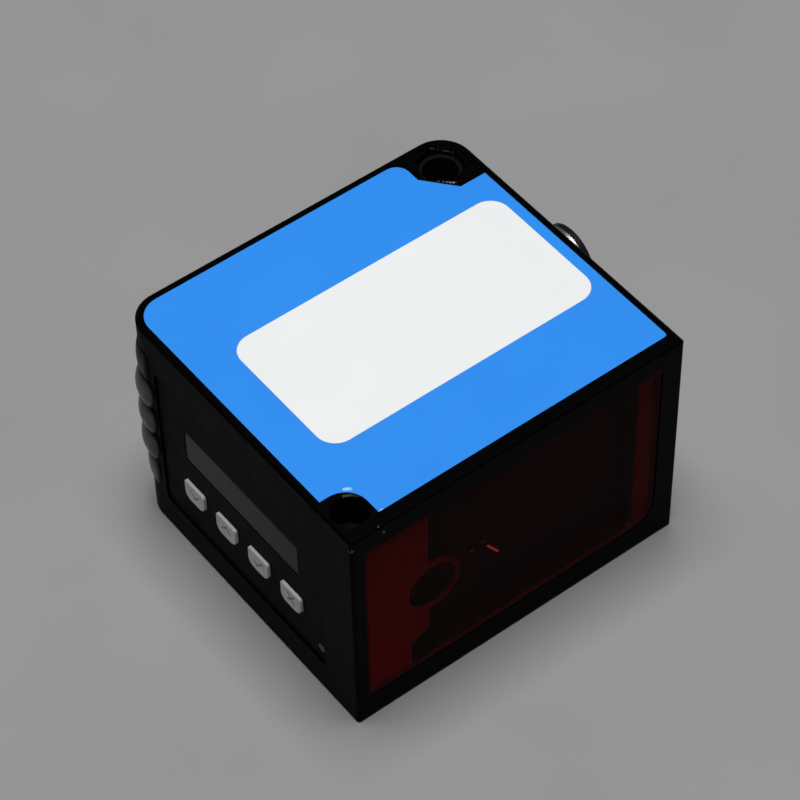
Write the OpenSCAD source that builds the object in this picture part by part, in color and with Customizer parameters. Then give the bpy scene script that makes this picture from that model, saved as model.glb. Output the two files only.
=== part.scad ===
// Laser distance sensor in a die-cast box. Millimetres, +Z up, lying on its large side.
// The window looks along -Y, the display and keys along -X, the connector along +X.
// The origin is the centre of the body's footprint, on the underside.

/* [Body] */
// Width across the window, along X
body_w = 62.7; // [58:0.1:76]
// Depth from the window to the plain back wall, along Y
body_d = 57.7; // [54:0.1:70]
// Thickness between the two large sides, along Z
body_h = 44; // [42:0.5:54]
// Wall beside the connector and at the back
wall = 3; // [2.6:0.1:3.6]
// Wall behind the control panel
panel_wall = 3.4; // [3:0.1:4.2]
// Floor under the circuit boards
floor_t = 2.2; // [1.8:0.1:3]
// Radius of the rear corner beside the control panel
rear_r_panel = 5.5; // [3.5:0.5:6.5]
// Radius of the rear corner beside the connector
rear_r_plug = 5.5; // [4:0.5:8.5]
// Radius of the two front corners
front_r = 0.6; // [0.3:0.1:1.2]
// Chamfer round the upper and lower edges
edge_chamfer = 0.4; // [0.2:0.1:0.6]

/* [Heat ribs] */
// Number of ribs
rib_count = 5; // [3:1:5]
// Height of one rib
rib_pitch = 6.2; // [5:0.1:6.5]
// How far a rib's crest stands proud of the wall
rib_crest = 1.1; // [0.8:0.1:1.6]
// The same for the first and the last rib, which are lower
rib_end_crest = 0.5; // [0.5:0.1:1.6]
// How far the groove between two ribs stands proud of the wall
rib_valley = 0.1; // [0.1:0.05:0.4]
// Height at which the lowest rib begins
rib_low = 8; // [4:0.5:8]
// Length of the ribs' return on the two end faces
rib_return = 0.1; // [0.1:0.1:1.2]
// Depth at which a rib's rounded end has its centre inside the wall
rib_sink = 0.3; // [0.3:0.1:0.8]

/* [Fixing holes] */
// Radius of the two through holes
fixing_r = 1.7; // [1.6:0.05:2]
// Radius of the pocket for the screw's head
pocket_r = 2.9; // [2.8:0.05:3.1]
// Depth of that pocket
pocket_depth = 6.5; // [4:0.5:9]
// Chamfer at the pocket's mouth
pocket_chamfer = 0.2; // [0.1:0.05:0.2]
// Width across the flats of the shallow hexagonal recess at the far hole
hex_af = 7.2; // [6.8:0.1:7.4]
// Depth of that recess
hex_depth = 1.2; // [0.8:0.1:2]
// Metal left round the near pocket
pocket_wall = 1; // [0.8:0.1:1.2]
// Metal left at the corners of the hexagonal recess
hex_wall = 0.5; // [0.5:0.05:0.6]
// Ledge for the gasket round the column
column_ledge = 0.8; // [0.5:0.1:0.8]
// Near hole's distance from the panel face
near_x = 3.85; // [3.8:0.05:4.4]
// Near hole's distance from the window face
near_y = 5.2; // [5.2:0.1:5.8]
// Far hole's distance from the connector face and from the back
far_xy = 5.6; // [5.5:0.1:6]

/* [Cover and labels] */
// Rim beside the label on the two ends and the back
rim = 1.3; // [1:0.1:1.6]
// Rim beside the label at the window
rim_front = 2.4; // [2:0.1:2.6]
// Depth of the shallow seat for the label
label_seat = 0.25; // [0.2:0.05:0.35]
// Thickness of the blue label
label_t = 0.15; // [0.1:0.05:0.15]
// Thickness of the white label
white_t = 0.08; // [0.05:0.01:0.08]
// Step from the label's edge to the cover's edge
cover_step = 0.5; // [0.3:0.1:0.6]
// Thickness of the cover
cover_t = 1.35; // [1.2:0.05:2]
// Thickness of the pressed gasket
gasket_t = 0.4; // [0.3:0.1:0.6]
// Length of the white label
white_w = 49.8; // [40:0.1:50]
// Width of the white label
white_d = 24.6; // [20:0.1:28]
// Middle of the white label from the body's middle, along X
white_x = 2.3; // [0:0.1:3]
// Middle of the white label from the body's middle, along Y
white_y = -0.6; // [-2:0.1:2]
// Corner radius of the white label
white_r = 3.4; // [2:0.1:5]

/* [Window] */
// Border at the panel's side
window_left = 2.4; // [2.2:0.1:3]
// Border at the connector's side
window_right = 4; // [3.8:0.1:5]
// Border at the top
window_top = 3.8; // [2.8:0.1:4]
// Border at the bottom
window_low = 4.8; // [4:0.1:5.4]
// Radius of the window's lower corner at the connector's side
window_r = 4; // [2:0.5:5]
// How far the pane lies behind the front face
window_inset = 0.1; // [0.05:0.05:0.2]
// Thickness of the red pane
window_t = 0.9; // [0.7:0.1:1]
// Bead between the pane and its frame
bead_t = 0.3; // [0.2:0.05:0.4]
// Thickness of the aperture plate
plate_t = 0.4; // [0.3:0.1:0.5]
// Thickness of the metal web behind the aperture plate
web_t = 1.95; // [1.5:0.05:2.4]

/* [Optics] */
// Beam's distance from the panel face
beam_x = 15.3; // [15:0.05:16]
// Beam's height
beam_z = 21.4; // [20:0.1:23]
// Radius of the beam hole in the plate
beam_hole_r = 4.4; // [3.5:0.1:4.5]
// Width of the ring round the beam hole
beam_ring = 0.9; // [0.8:0.1:1.5]
// Outer radius of the laser barrel
barrel_r = 4; // [3.6:0.1:4.2]
// Wall of the laser barrel
barrel_wall = 1; // [0.8:0.1:1.2]
// Length of the laser barrel
barrel_len = 16; // [12:0.5:17]
// Width of the receiver lens
lens_w = 29; // [24:0.5:30]
// Height of the receiver lens
lens_h = 32; // [26:0.5:32]
// Radius of the receiver lens before its sides are trimmed
lens_round_r = 20; // [19:0.5:22]
// Radius of the lens's curved face
lens_curve_r = 60; // [50:1:90]
// Thickness of the lens at its flat edge
lens_edge = 2; // [1.5:0.1:3]
// Depth of the optics block
block_d = 21.9; // [19:0.1:23]

/* [Control panel] */
// Width of the panel, along Y
panel_w = 42.4; // [40:0.1:43]
// Lower edge of the panel
panel_low = 6.2; // [5.6:0.1:7]
// Upper edge of the panel
panel_high = 36.6; // [36:0.1:37]
// Thickness of the panel
panel_t = 1.6; // [1.4:0.1:1.8]
// How far the panel lies behind the end face
panel_inset = 0.3; // [0.1:0.05:0.5]
// Width of the display glass
display_w = 29; // [26:0.1:30]
// Height of the display glass
display_h = 6.8; // [6:0.1:7]
// Height of the middle of the display glass
display_z = 25.4; // [25:0.1:26]
// Width of a key
key_w = 5.1; // [4.6:0.1:6.8]
// Height of a key
key_h = 4; // [3:0.1:4]
// Distance between two keys
key_pitch = 8.4; // [8.2:0.1:8.8]
// Height of the middle of the keys
key_z = 14.9; // [14.5:0.1:15.2]
// How far a key stands proud of the panel
key_proud = 0.5; // [0.5:0.05:1]
// Travel of a key
key_travel = 0.5; // [0.3:0.05:0.6]
// Clearance round a key in its hole
key_gap = 0.15; // [0.1:0.05:0.2]
// Radius of the status light
light_r = 0.8; // [0.7:0.1:1.2]

/* [Boards] */
// Thickness of every circuit board
board_t = 1.6; // [1.2:0.1:1.6]
// Height of the posts under the main board
post_h = 2.8; // [2:0.1:3.2]

/* [Connector] */
// Height of the connector's axis
plug_z = 23; // [21:0.1:24]
// Connector's distance from the middle of the body, along Y
plug_y = 10.2; // [6:0.1:10.2]
// Outer radius of the threaded sleeve
sleeve_r = 6; // [5.8:0.05:6]
// How far the connector stands out of the body
plug_len = 11; // [10:0.1:14]
// Length of the dark ring at the connector's end
end_ring_len = 1.1; // [0.8:0.1:1.4]
// Width of the flange round the sleeve, outside the wall
flange_w = 2; // [1.6:0.1:2.6]
// Thickness of that flange
flange_t = 2; // [1.6:0.1:2.4]
// Radius of a contact pin
pin_r = 0.5; // [0.4:0.05:0.5]

/* [Hidden] */
$fn = 64;
eps = 0.01;
fit_gap = 0.15;
slip = 0.05;
half_w = body_w / 2;
half_d = body_d / 2;

// Levels from the top down
seat_z = body_h - label_seat;
cover_z = seat_z - cover_t;
ledge_z = cover_z - gasket_t;

// Planes from the window back
pane_y = -half_d + window_inset;
plate_y = pane_y + window_t;
web_y = plate_y + plate_t;
block_y = web_y + web_t;
back_y = half_d - wall;
board_y = block_y + block_d;

// Planes from the panel in
panel_x = -half_w + panel_inset;
panel_back_x = panel_x + panel_t;
inner_x = -half_w + panel_wall;
far_inner_x = half_w - wall;
switch_gap = 1.5;
flange_key_t = 0.8;
flange_key_rim = 0.8;
switch_t = 1.8;
switch_w = 4.5;
stem_out = key_travel + 0.15;
flange_key_x = panel_back_x + slip;
plunger_x = flange_key_x + flange_key_t;
switch_x = plunger_x + switch_gap;
stem_x = switch_x - stem_out;
display_board_x = switch_x + switch_t;

// Window outline in the X-Z plane
window_lo = [-half_w + window_left, window_low];
window_hi = [half_w - window_right, body_h - window_top];
window_radii = [0.6, window_r, 1, 0.6];

// Fixing holes
near_hole = [-half_w + near_x, -half_d + near_y];
far_hole = [half_w - far_xy, half_d - far_xy];
fixing_holes = [near_hole, far_hole];
column_r = [pocket_r + pocket_wall, hex_af / sqrt(3) + hex_wall];
column_low_r = [column_r[0] + column_ledge, column_r[1] + column_ledge];
pocket_z = body_h - pocket_depth;

// Notches of the label round the two holes
near_notch = near_hole + [pocket_r + pocket_chamfer, pocket_r + 1.05];
near_notch_r = 4;
far_notch = far_hole - [4.95, 5.9];
far_notch_cut = [4.35, 5.3];
far_notch_r = 2.5;

// Cover screws: countersunk, M2.5
cover_screw_r = 1.25;
cover_head_r = 2.3;
cover_head_t = 1.2;
cover_pilot_r = 1.05;
cover_screw_len = 5;
lug_r = 2.6;
lug_low = ledge_z - 4.6;
lug_inset = 2.2;
cover_lugs = [
    [inner_x + lug_inset, near_hole[1] + column_r[0] + 3.8],
    [far_inner_x - lug_inset, block_y + 5],
    [inner_x + lug_inset - 0.2, back_y - lug_inset],
    [far_inner_x - lug_inset, plug_y + 2.5]
];

// Optics
beam = [-half_w + beam_x, beam_z];
ring_r = beam_hole_r + beam_ring;
block_z = floor_t;
block_left = beam[0] - barrel_r - 1.4;
block_right = window_hi[0] - 0.5;
block_top = ledge_z - 2.2;
lens_x = block_right - 2.6 - lens_w / 2;
lens_z = 22.3;
lens_r_corner = 4;
lens_seat_y = block_y + 0.4;
lens_back_y = lens_seat_y + lens_edge;
clip_t = 0.3;
clip_foot = 2.8;
clip_tongue = 3.4;
clip_z = beam[1] - 6.2;
clip_h = 6;
clip_drop = 3;
detector_r = 4.1;
detector_h = 4;
detector_y = board_y - detector_h;
chamber_r = lens_w / 2 - 0.8;
diode_r = 2.8;
diode_pin_r = 0.25;
diode_pin_ring = 1.27;

// Aperture plate: lighter zone beside the beam, strip at the far side
zone_x = -half_w + 14.6;
zone_step_x = -half_w + 11.1;
zone_step_z = 11.7;
zone_low_z = 9.8;
strip_x = window_hi[0] - 3.75;
strip_tail = 7;
plate_top = 1.6;

// Ears of the optics block and their posts
ear_z = floor_t + 2.6;
ear_t = 2.4;
ear_r = 2.8;
ear_x = [block_left + ear_r, block_right - ear_r];
ear_y = board_y + board_t + 2.2;

// Main board
main_z = floor_t + post_h;
main_lo = [block_left + 0.2, ear_y + ear_r + 0.5];
main_hi = [far_hole[0] - column_low_r[1] - 0.3, back_y - 1];
post_r = 2.4;
post_in = 2.6;
m2_pilot_r = 0.8;
m2_r = 0.95;
m2_head_r = 1.9;
m2_head_t = 1.2;
pilot_z = floor_t - 0.8;
screw_tip_z = pilot_z + 0.4;
main_posts = [for (x = [main_lo[0] + post_in, main_hi[0] - post_in])
              for (y = [main_lo[1] + post_in, main_hi[1] - post_in]) [x, y]];

// Display and keys
glass_t = 1;
glass_gap = 0.1;
module_w = display_w + 2.4;
module_h = display_h + 2.6;
bay_y = max(1.5 * key_pitch + key_w / 2 + flange_key_rim + 0.45, module_w / 2 + 0.5);
bay_lo = [-bay_y, key_z - key_h / 2 - flange_key_rim - 1.9];
bay_hi = [bay_y, display_z + module_h / 2 + 1.5];
display_board_lo = [max(-bay_y - 0.8, near_hole[1] + column_low_r[0] + 0.2), bay_lo[1] - 5];
display_board_hi = [bay_y + 2.4, bay_hi[1] + 4.8];
display_post_y = bay_y - 3.8;
display_post_r = 2;
display_posts = [for (y = [-display_post_y, display_post_y])
                 for (z = [display_board_lo[1] + 2.2, display_board_hi[1] - 2.2]) [y, z]];
display_screw_len = 4.4;
light_y = -panel_w / 2 + 1.6;
light_z = panel_low + 3.2;
key_ys = [for (i = [0 : 3]) key_pitch * (1.5 - i)];

// Connector
sleeve_end = half_w + plug_len - end_ring_len;
plug_end = half_w + plug_len;
bore_plug_r = sleeve_r - 1.25;
flange_r = sleeve_r + flange_w;
end_ring_r = sleeve_r - 0.3;
nut_t = 2.6;
nut_af = 2 * sleeve_r + 2.4;
insert_back = far_inner_x - nut_t - 1.2;
insert_face = half_w + 4.5;
socket_r = bore_plug_r - 0.55;
pin_back = insert_back - 2.2;
pin_front = plug_end - 2.5;
pin_ring_r = socket_r - 1.6;
flex_t = 0.25;
display_flex_y = display_post_y + 2.3;
display_flex_w = 3.4;
display_socket_x = main_lo[0] + 2.4;
power_flex_y = plug_y - 0.2;
power_flex_w = 3.4;
power_socket_x = main_hi[0] - 4.5;

// What is left of a square corner outside its rounding
module corner_bit(r) {
    difference() {
        translate([-1, -1]) square(r + 1);
        translate([r, r]) circle(r);
    }
}

// Rectangle from lo to hi; r holds the radii from the lower left corner, anticlockwise
module corner_rect(lo, hi, r) {
    difference() {
        translate(lo) square(hi - lo);
        translate(lo) corner_bit(r[0]);
        translate([hi[0], lo[1]]) mirror([1, 0]) corner_bit(r[1]);
        translate(hi) rotate(180) corner_bit(r[2]);
        translate([lo[0], hi[1]]) mirror([0, 1]) corner_bit(r[3]);
    }
}

// The body's footprint, drawn in from each face
module footprint(ends, back, front) {
    corner_rect([-half_w + ends, -half_d + front], [half_w - ends, half_d - back],
                [front_r, front_r, max(rear_r_plug - back, 0.5), max(rear_r_panel - back, 0.5)]);
}

// A plate in the X-Z plane, from y0 to y0 + t
module front_plate(y0, t) {
    translate([0, y0 + t, 0]) rotate([90, 0, 0]) linear_extrude(t) children();
}

// A plate in the Y-Z plane, from x0 to x0 + t
module end_plate(x0, t) {
    translate([x0, 0, 0]) rotate([90, 0, 90]) linear_extrude(t) children();
}

// Cylinders along X and Y
module rod_x(x0, x1, y, z, r) {
    translate([x0, y, z]) rotate([0, 90, 0]) cylinder(h = x1 - x0, r = r);
}

module rod_y(y0, y1, x, z, r) {
    translate([x, y1, z]) rotate([90, 0, 0]) cylinder(h = y1 - y0, r = r);
}

// Profile of the heat ribs; the wall's face is at x = wall_x
module rib_wave(wall_x) {
    inner = wall_x - 0.3;
    for (i = [0 : rib_count - 1]) {
        crest = (i == 0 || i == rib_count - 1) ? rib_end_crest : rib_crest;
        rise = crest - rib_valley;
        arc_r = (rib_pitch * rib_pitch / 4 + rise * rise) / (2 * rise);
        intersection() {
            translate([wall_x + crest - arc_r, rib_low + rib_pitch * (i + 0.5)]) circle(arc_r);
            translate([inner, rib_low + rib_pitch * i]) square([3 + crest, rib_pitch]);
        }
    }
}

// Rounded end of the ribs on an end face, turned about an axis inside the wall
module rib_end(x, y, turn) {
    translate([x, y, 0]) rotate([0, 0, turn]) rotate_extrude(angle = 90) rib_wave(rib_sink);
}

module heat_ribs() {
    straight = body_w - rear_r_panel - rear_r_plug;
    translate([-half_w + rear_r_panel, half_d, 0])
        rotate([90, 0, 90]) linear_extrude(straight) rib_wave(0);
    translate([-half_w + rear_r_panel, half_d - rear_r_panel, 0])
        rotate([0, 0, 90]) rotate_extrude(angle = 90) rib_wave(rear_r_panel);
    translate([half_w - rear_r_plug, half_d - rear_r_plug, 0])
        rotate_extrude(angle = 90) rib_wave(rear_r_plug);
    translate([-half_w, half_d - rear_r_panel - rib_return, 0]) mirror([1, 0, 0])
        rotate([90, 0, 0]) mirror([0, 0, 1]) linear_extrude(rib_return) rib_wave(0);
    translate([half_w, half_d - rear_r_plug - rib_return, 0])
        rotate([90, 0, 0]) mirror([0, 0, 1]) linear_extrude(rib_return) rib_wave(0);
    rib_end(-half_w + rib_sink, half_d - rear_r_panel - rib_return, 180);
    rib_end(half_w - rib_sink, half_d - rear_r_plug - rib_return, -90);
}

// A bar of square section, turned on its edge, that cuts a chamfer along X
module chamfer_bar(length) {
    side = edge_chamfer * sqrt(2);
    rotate([45, 0, 0]) cube([length, side, side], center = true);
}

// The ring that cuts a chamfer under a rounded corner
module chamfer_ring(r) {
    rotate_extrude(angle = 90)
        polygon([[r - edge_chamfer - 1, -1], [r + 1, -1], [r + 1, edge_chamfer + 1]]);
}

module corner_rings() {
    translate([half_w - rear_r_plug, half_d - rear_r_plug, 0]) chamfer_ring(rear_r_plug);
    translate([-half_w + rear_r_panel, half_d - rear_r_panel, 0])
        rotate([0, 0, 90]) chamfer_ring(rear_r_panel);
}

module edge_chamfers() {
    for (z = [0, body_h]) {
        translate([0, -half_d, z]) chamfer_bar(body_w + 2);
        translate([(rear_r_panel - rear_r_plug) / 2, half_d, z])
            chamfer_bar(body_w - rear_r_panel - rear_r_plug);
        translate([-half_w, -rear_r_panel / 2, z]) rotate([0, 0, 90]) chamfer_bar(body_d - rear_r_panel);
        translate([half_w, -rear_r_plug / 2, z]) rotate([0, 0, 90]) chamfer_bar(body_d - rear_r_plug);
    }
    corner_rings();
    translate([0, 0, body_h]) mirror([0, 0, 1]) corner_rings();
}

// Plan of the inside, round the two screw columns
module cavity_plan() {
    difference() {
        corner_rect([inner_x, block_y], [far_inner_x, back_y],
                    [1, 1, rear_r_plug - wall, rear_r_panel - wall]);
        for (i = [0, 1]) translate(fixing_holes[i]) circle(column_low_r[i]);
    }
}

// Plan of the seat that the cover drops into
module cover_plan(gap) {
    step = cover_step + gap;
    difference() {
        footprint(rim + step, rim + step, rim_front + step);
        for (i = [0, 1]) translate(fixing_holes[i]) circle(column_r[i] + gap);
    }
}

module window_plan(gap) {
    corner_rect(window_lo + [gap, gap], window_hi - [gap, gap], window_radii);
}

// Opening of the metal web: big receiver opening with a boss left round the beam
module web_opening() {
    difference() {
        corner_rect([zone_x + 0.4, window_low + 1.7], [strip_x + 0.3, window_hi[1] - 0.6],
                    [1, lens_r_corner, 1, 1]);
        translate(beam) circle(ring_r - 0.2);
    }
}

module fixing_bores() {
    for (p = fixing_holes) {
        translate([p[0], p[1], -1]) cylinder(h = body_h + 2, r = fixing_r);
        translate([p[0], p[1], pocket_z]) cylinder(h = pocket_depth + 1, r = pocket_r);
    }
    translate([near_hole[0], near_hole[1], seat_z]) mouth_chamfer(pocket_r);
    translate([far_hole[0], far_hole[1], seat_z - hex_depth]) {
        rotate([0, 0, 15]) cylinder(h = hex_depth + 1, r = hex_af / sqrt(3), $fn = 6);
        mouth_chamfer(pocket_r);
    }
}

// Cuts the chamfer at a pocket's mouth, whose level is z = 0
module mouth_chamfer(r) {
    translate([0, 0, -pocket_chamfer])
        cylinder(h = pocket_chamfer, r1 = r, r2 = r + pocket_chamfer);
    translate([0, 0, -eps]) cylinder(h = 0.6, r = r + pocket_chamfer);
}

module cover_lug(p) {
    translate([p[0], p[1], lug_low]) cylinder(h = ledge_z - lug_low, r = lug_r);
}

module posts() {
    for (p = main_posts) translate([p[0], p[1], floor_t - 1]) cylinder(h = post_h + 1, r = post_r);
    for (x = ear_x) translate([x, ear_y, floor_t - 1]) cylinder(h = ear_z - floor_t + 1, r = ear_r - 0.2);
    for (p = display_posts) rod_x(inner_x - 1, display_board_x, p[0], p[1], display_post_r);
}

module pilot_holes() {
    for (p = main_posts) translate([p[0], p[1], pilot_z]) cylinder(h = main_z, r = m2_pilot_r);
    for (x = ear_x) translate([x, ear_y, pilot_z]) cylinder(h = ear_z, r = m2_pilot_r);
    for (p = display_posts)
        rod_x(display_board_x + board_t - display_screw_len - 0.3, display_board_x + 1, p[0], p[1], m2_pilot_r);
    for (p = cover_lugs)
        translate([p[0], p[1], ledge_z - cover_screw_len]) cylinder(h = 10, r = cover_pilot_r);
}

module housing() color([0.05, 0.05, 0.055]) {
    difference() {
        union() {
            difference() {
                union() {
                    linear_extrude(body_h) footprint(0, 0, 0);
                    heat_ribs();
                }
                edge_chamfers();
                translate([0, 0, seat_z]) linear_extrude(2) footprint(rim, rim, rim_front);
                translate([0, 0, ledge_z]) linear_extrude(4) cover_plan(0);
                translate([0, 0, floor_t]) linear_extrude(body_h) cavity_plan();
                front_plate(-half_d - 1, web_y + half_d + 1) window_plan(0);
                front_plate(web_y - 1, web_t + 2) web_opening();
                rod_y(web_y - 1, block_y + 1, beam[0], beam[1], barrel_r + slip);
                end_plate(-half_w - 1, panel_inset + panel_t + 1) panel_plan(0);
                end_plate(-half_w - 1, panel_wall + 2) corner_rect(bay_lo, bay_hi, [1, 1, 1, 1]);
                rod_x(far_inner_x - 1, half_w + 1, plug_y, plug_z, sleeve_r + slip);
                rod_x(-half_w - 1, inner_x - 0.6, light_y, light_z, light_r + slip);
            }
            intersection() {
                for (p = cover_lugs) cover_lug(p);
                linear_extrude(ledge_z) footprint(1, 1, 2);
            }
            posts();
        }
        fixing_bores();
        pilot_holes();
    }
}

module side_cover() color([0.08, 0.08, 0.085]) {
    difference() {
        translate([0, 0, cover_z]) linear_extrude(cover_t) cover_plan(fit_gap);
        for (p = cover_lugs) {
            translate([p[0], p[1], cover_z - 1]) cylinder(h = cover_t + 2, r = cover_screw_r + fit_gap);
            translate([p[0], p[1], seat_z - cover_head_t])
                cylinder(h = cover_head_t + eps, r1 = cover_screw_r + fit_gap, r2 = cover_head_r + fit_gap);
        }
    }
}

module cover_gasket() color([0.2, 0.2, 0.2]) {
    translate([0, 0, ledge_z]) linear_extrude(gasket_t) difference() {
        cover_plan(fit_gap);
        difference() {
            cavity_plan();
            for (p = cover_lugs) translate(p) circle(lug_r);
        }
        for (p = cover_lugs) translate(p) circle(cover_screw_r + fit_gap);
    }
}

module countersunk_screw() {
    tip = cover_t + gasket_t + cover_screw_len - 1;
    translate([0, 0, -cover_head_t]) cylinder(h = cover_head_t, r1 = cover_screw_r, r2 = cover_head_r);
    translate([0, 0, -tip]) cylinder(h = tip - cover_head_t + 0.2, r = cover_pilot_r);
}

module cover_screws() color([0.6, 0.6, 0.6]) {
    for (p = cover_lugs) translate([p[0], p[1], seat_z]) difference() {
        countersunk_screw();
        translate([0, 0, -0.7]) cylinder(h = 1, r = 0.9, $fn = 6);
    }
}

module label_plan() {
    difference() {
        footprint(rim + slip, rim + slip, rim_front + slip);
        corner_rect([-half_w - 1, -half_d - 1], near_notch, [0.1, 0.1, near_notch_r, 0.1]);
        polygon([far_notch + [0, 20], far_notch + [0, far_notch_cut[1]],
                 far_notch + [far_notch_cut[0], 0], far_notch + [20, 0], far_notch + [20, 20]]);
        translate([far_notch[0], half_d - rim - slip]) rotate(180) corner_bit(far_notch_r);
    }
}

module side_label() color([0.16, 0.54, 0.93]) {
    translate([0, 0, seat_z]) linear_extrude(label_t) label_plan();
}

module white_label() color([0.92, 0.93, 0.93]) {
    translate([white_x, white_y, seat_z + label_t]) linear_extrude(white_t)
        corner_rect([-white_w / 2, -white_d / 2], [white_w / 2, white_d / 2],
                    [white_r, white_r, white_r, white_r]);
}

module window() color([0.35, 0.02, 0.03, 0.6]) {
    front_plate(pane_y, window_t) window_plan(bead_t);
}

module window_seal() color([0.3, 0.3, 0.3]) {
    front_plate(pane_y + 0.3, window_t - 0.3) difference() {
        window_plan(0);
        window_plan(bead_t);
    }
}

module plate_plan() {
    top_z = window_hi[1] - plate_top;
    difference() {
        window_plan(slip);
        difference() {
            union() {
                corner_rect([zone_x, window_low - 1], [strip_x, top_z], [0.3, lens_r_corner, 1, 0.3]);
                polygon([[zone_x - 1, window_low - 1], [zone_x + 1, window_low - 1],
                         [zone_x + 1, zone_step_z + 1], [zone_x, zone_step_z],
                         [zone_step_x, zone_low_z], [zone_step_x, window_low - 1]]);
                translate([zone_step_x, window_low - 1]) square([strip_x - strip_tail - zone_step_x, 3]);
            }
            translate(beam) circle(ring_r);
        }
        translate(beam) circle(beam_hole_r);
    }
}

module aperture_plate() color([0.62, 0.6, 0.56]) {
    front_plate(plate_y, plate_t) plate_plan();
}

module optics_block() color([0.07, 0.07, 0.07]) {
    difference() {
        union() {
            translate([block_left, block_y, block_z])
                cube([block_right - block_left, block_d, block_top - block_z]);
            for (x = ear_x) {
                translate([x, ear_y, ear_z]) cylinder(h = ear_t, r = ear_r);
                translate([x - ear_r, board_y - 1, ear_z]) cube([2 * ear_r, ear_y - board_y + 1, ear_t]);
            }
        }
        front_plate(block_y - 1, lens_back_y - block_y + 1) lens_plan(fit_gap);
        translate([lens_x, lens_back_y - eps, lens_z]) rotate([-90, 0, 0])
            cylinder(h = detector_y - lens_back_y + 2 * eps, r1 = chamber_r, r2 = detector_r + 0.6);
        rod_y(detector_y - eps, board_y + 1, lens_x, lens_z, detector_r + 0.6);
        rod_y(block_y - 1, board_y + 1, beam[0], beam[1], barrel_r + slip);
        for (x = ear_x) translate([x, ear_y, ear_z - 1]) cylinder(h = ear_t + 2, r = m2_r + fit_gap);
        translate([cover_lugs[1][0], cover_lugs[1][1], lug_low - 0.3])
            cylinder(h = 20, r = lug_r + 0.3);
        translate([near_hole[0], near_hole[1], 0]) cylinder(h = 60, r = column_low_r[0] + fit_gap);
    }
}

module lens_plan(gap) {
    intersection() {
        corner_rect([lens_x - lens_w / 2 - gap, lens_z - lens_h / 2 - gap],
                    [lens_x + lens_w / 2 + gap, lens_z + lens_h / 2 + gap],
                    [lens_r_corner, lens_r_corner, lens_r_corner, lens_r_corner]);
        translate([lens_x, lens_z]) circle(lens_round_r + gap);
    }
}

// Flat towards the window, domed towards the detector
module receiver_lens() color([0.7, 0.75, 0.8, 0.5]) {
    dome_r = chamber_r - 0.3;
    dome = lens_curve_r - sqrt(lens_curve_r * lens_curve_r - dome_r * dome_r);
    union() {
        front_plate(lens_seat_y, lens_edge) lens_plan(0);
        translate([lens_x, lens_back_y, lens_z]) rotate([-90, 0, 0]) rotate_extrude() intersection() {
            translate([0, dome - lens_curve_r]) circle(lens_curve_r, $fn = 360);
            translate([0, -0.5]) square([dome_r, dome + 1]);
        }
    }
}

// Bent strip that presses the lens at its edge beside the beam
module lens_clip() color([0.75, 0.75, 0.7]) {
    edge_x = lens_x - lens_w / 2;
    translate([edge_x, 0, clip_z]) union() {
        translate([-clip_foot, block_y - clip_t, clip_drop])
            cube([clip_foot + clip_t, clip_t, clip_h - clip_drop]);
        translate([0, block_y - clip_t, clip_drop])
            cube([clip_t, lens_seat_y - block_y + clip_t, clip_h - clip_drop]);
        translate([0, lens_seat_y - clip_t, 0]) cube([clip_tongue, clip_t, clip_h]);
    }
}

module laser_barrel() color([0.75, 0.6, 0.25]) {
    inner = barrel_r - barrel_wall;
    difference() {
        rod_y(block_y - 1.4, block_y - 1.4 + barrel_len, beam[0], beam[1], barrel_r);
        rod_y(block_y - 2, block_y + barrel_len, beam[0], beam[1], inner - 0.6);
        rod_y(block_y - 2, block_y + 0.8, beam[0], beam[1], inner);
        rod_y(block_y - 1.4 + barrel_len - 2.4, block_y + barrel_len, beam[0], beam[1], inner);
    }
}

// Small collimator, seated on the step inside the barrel
module emitter_lens() color([0.7, 0.75, 0.85, 0.5]) {
    seat_y = block_y + 0.8;
    lens_r = barrel_r - barrel_wall - slip;
    curve = 5.5;
    union() {
        rod_y(seat_y - 1, seat_y, beam[0], beam[1], lens_r);
        intersection() {
            rod_y(seat_y - 3, seat_y - 0.5, beam[0], beam[1], lens_r);
            translate([beam[0], seat_y - 1 + sqrt(curve * curve - lens_r * lens_r), beam[1]])
                sphere(curve, $fn = 96);
        }
    }
}

module laser_diode() color([0.75, 0.72, 0.6]) {
    seat_y = block_y - 1.4 + barrel_len - 2.4;
    rod_y(seat_y, seat_y + 1.2, beam[0], beam[1], diode_r);
    rod_y(seat_y - 2.3, seat_y + 0.1, beam[0], beam[1], diode_r - 1);
    for (a = [0, 120, 240])
        rod_y(seat_y + 1, board_y, beam[0] + diode_pin_ring * sin(a),
              beam[1] + diode_pin_ring * cos(a), diode_pin_r);
}

module detector() color([0.7, 0.68, 0.6]) {
    rod_y(board_y - 1, board_y, lens_x, lens_z, detector_r);
    rod_y(detector_y, board_y - 0.9, lens_x, lens_z, detector_r - 0.6);
}

module receiver_board() color([0.08, 0.35, 0.18]) {
    lo = [block_left + 0.4, block_z + 6];
    hi = [block_right - 0.4, block_top - 1];
    front_plate(board_y, board_t) corner_rect(lo, hi, [0.5, 0.5, 0.5, 0.5]);
}

module shield_can() color([0.75, 0.75, 0.77]) {
    can = [26, 4.2, 20];
    skin = 0.3;
    translate([lens_x - can[0] / 2, board_y + board_t, lens_z - can[2] / 2]) difference() {
        cube(can);
        translate([skin, -1, skin]) cube([can[0] - 2 * skin, can[1] - skin + 1, can[2] - 2 * skin]);
        for (i = [-2 : 2]) for (j = [-1 : 1])
            translate([can[0] / 2 + 4 * i, can[1] - 1, can[2] / 2 + 5 * j])
                rotate([-90, 0, 0]) cylinder(h = 2, r = 0.7);
    }
}

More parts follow.
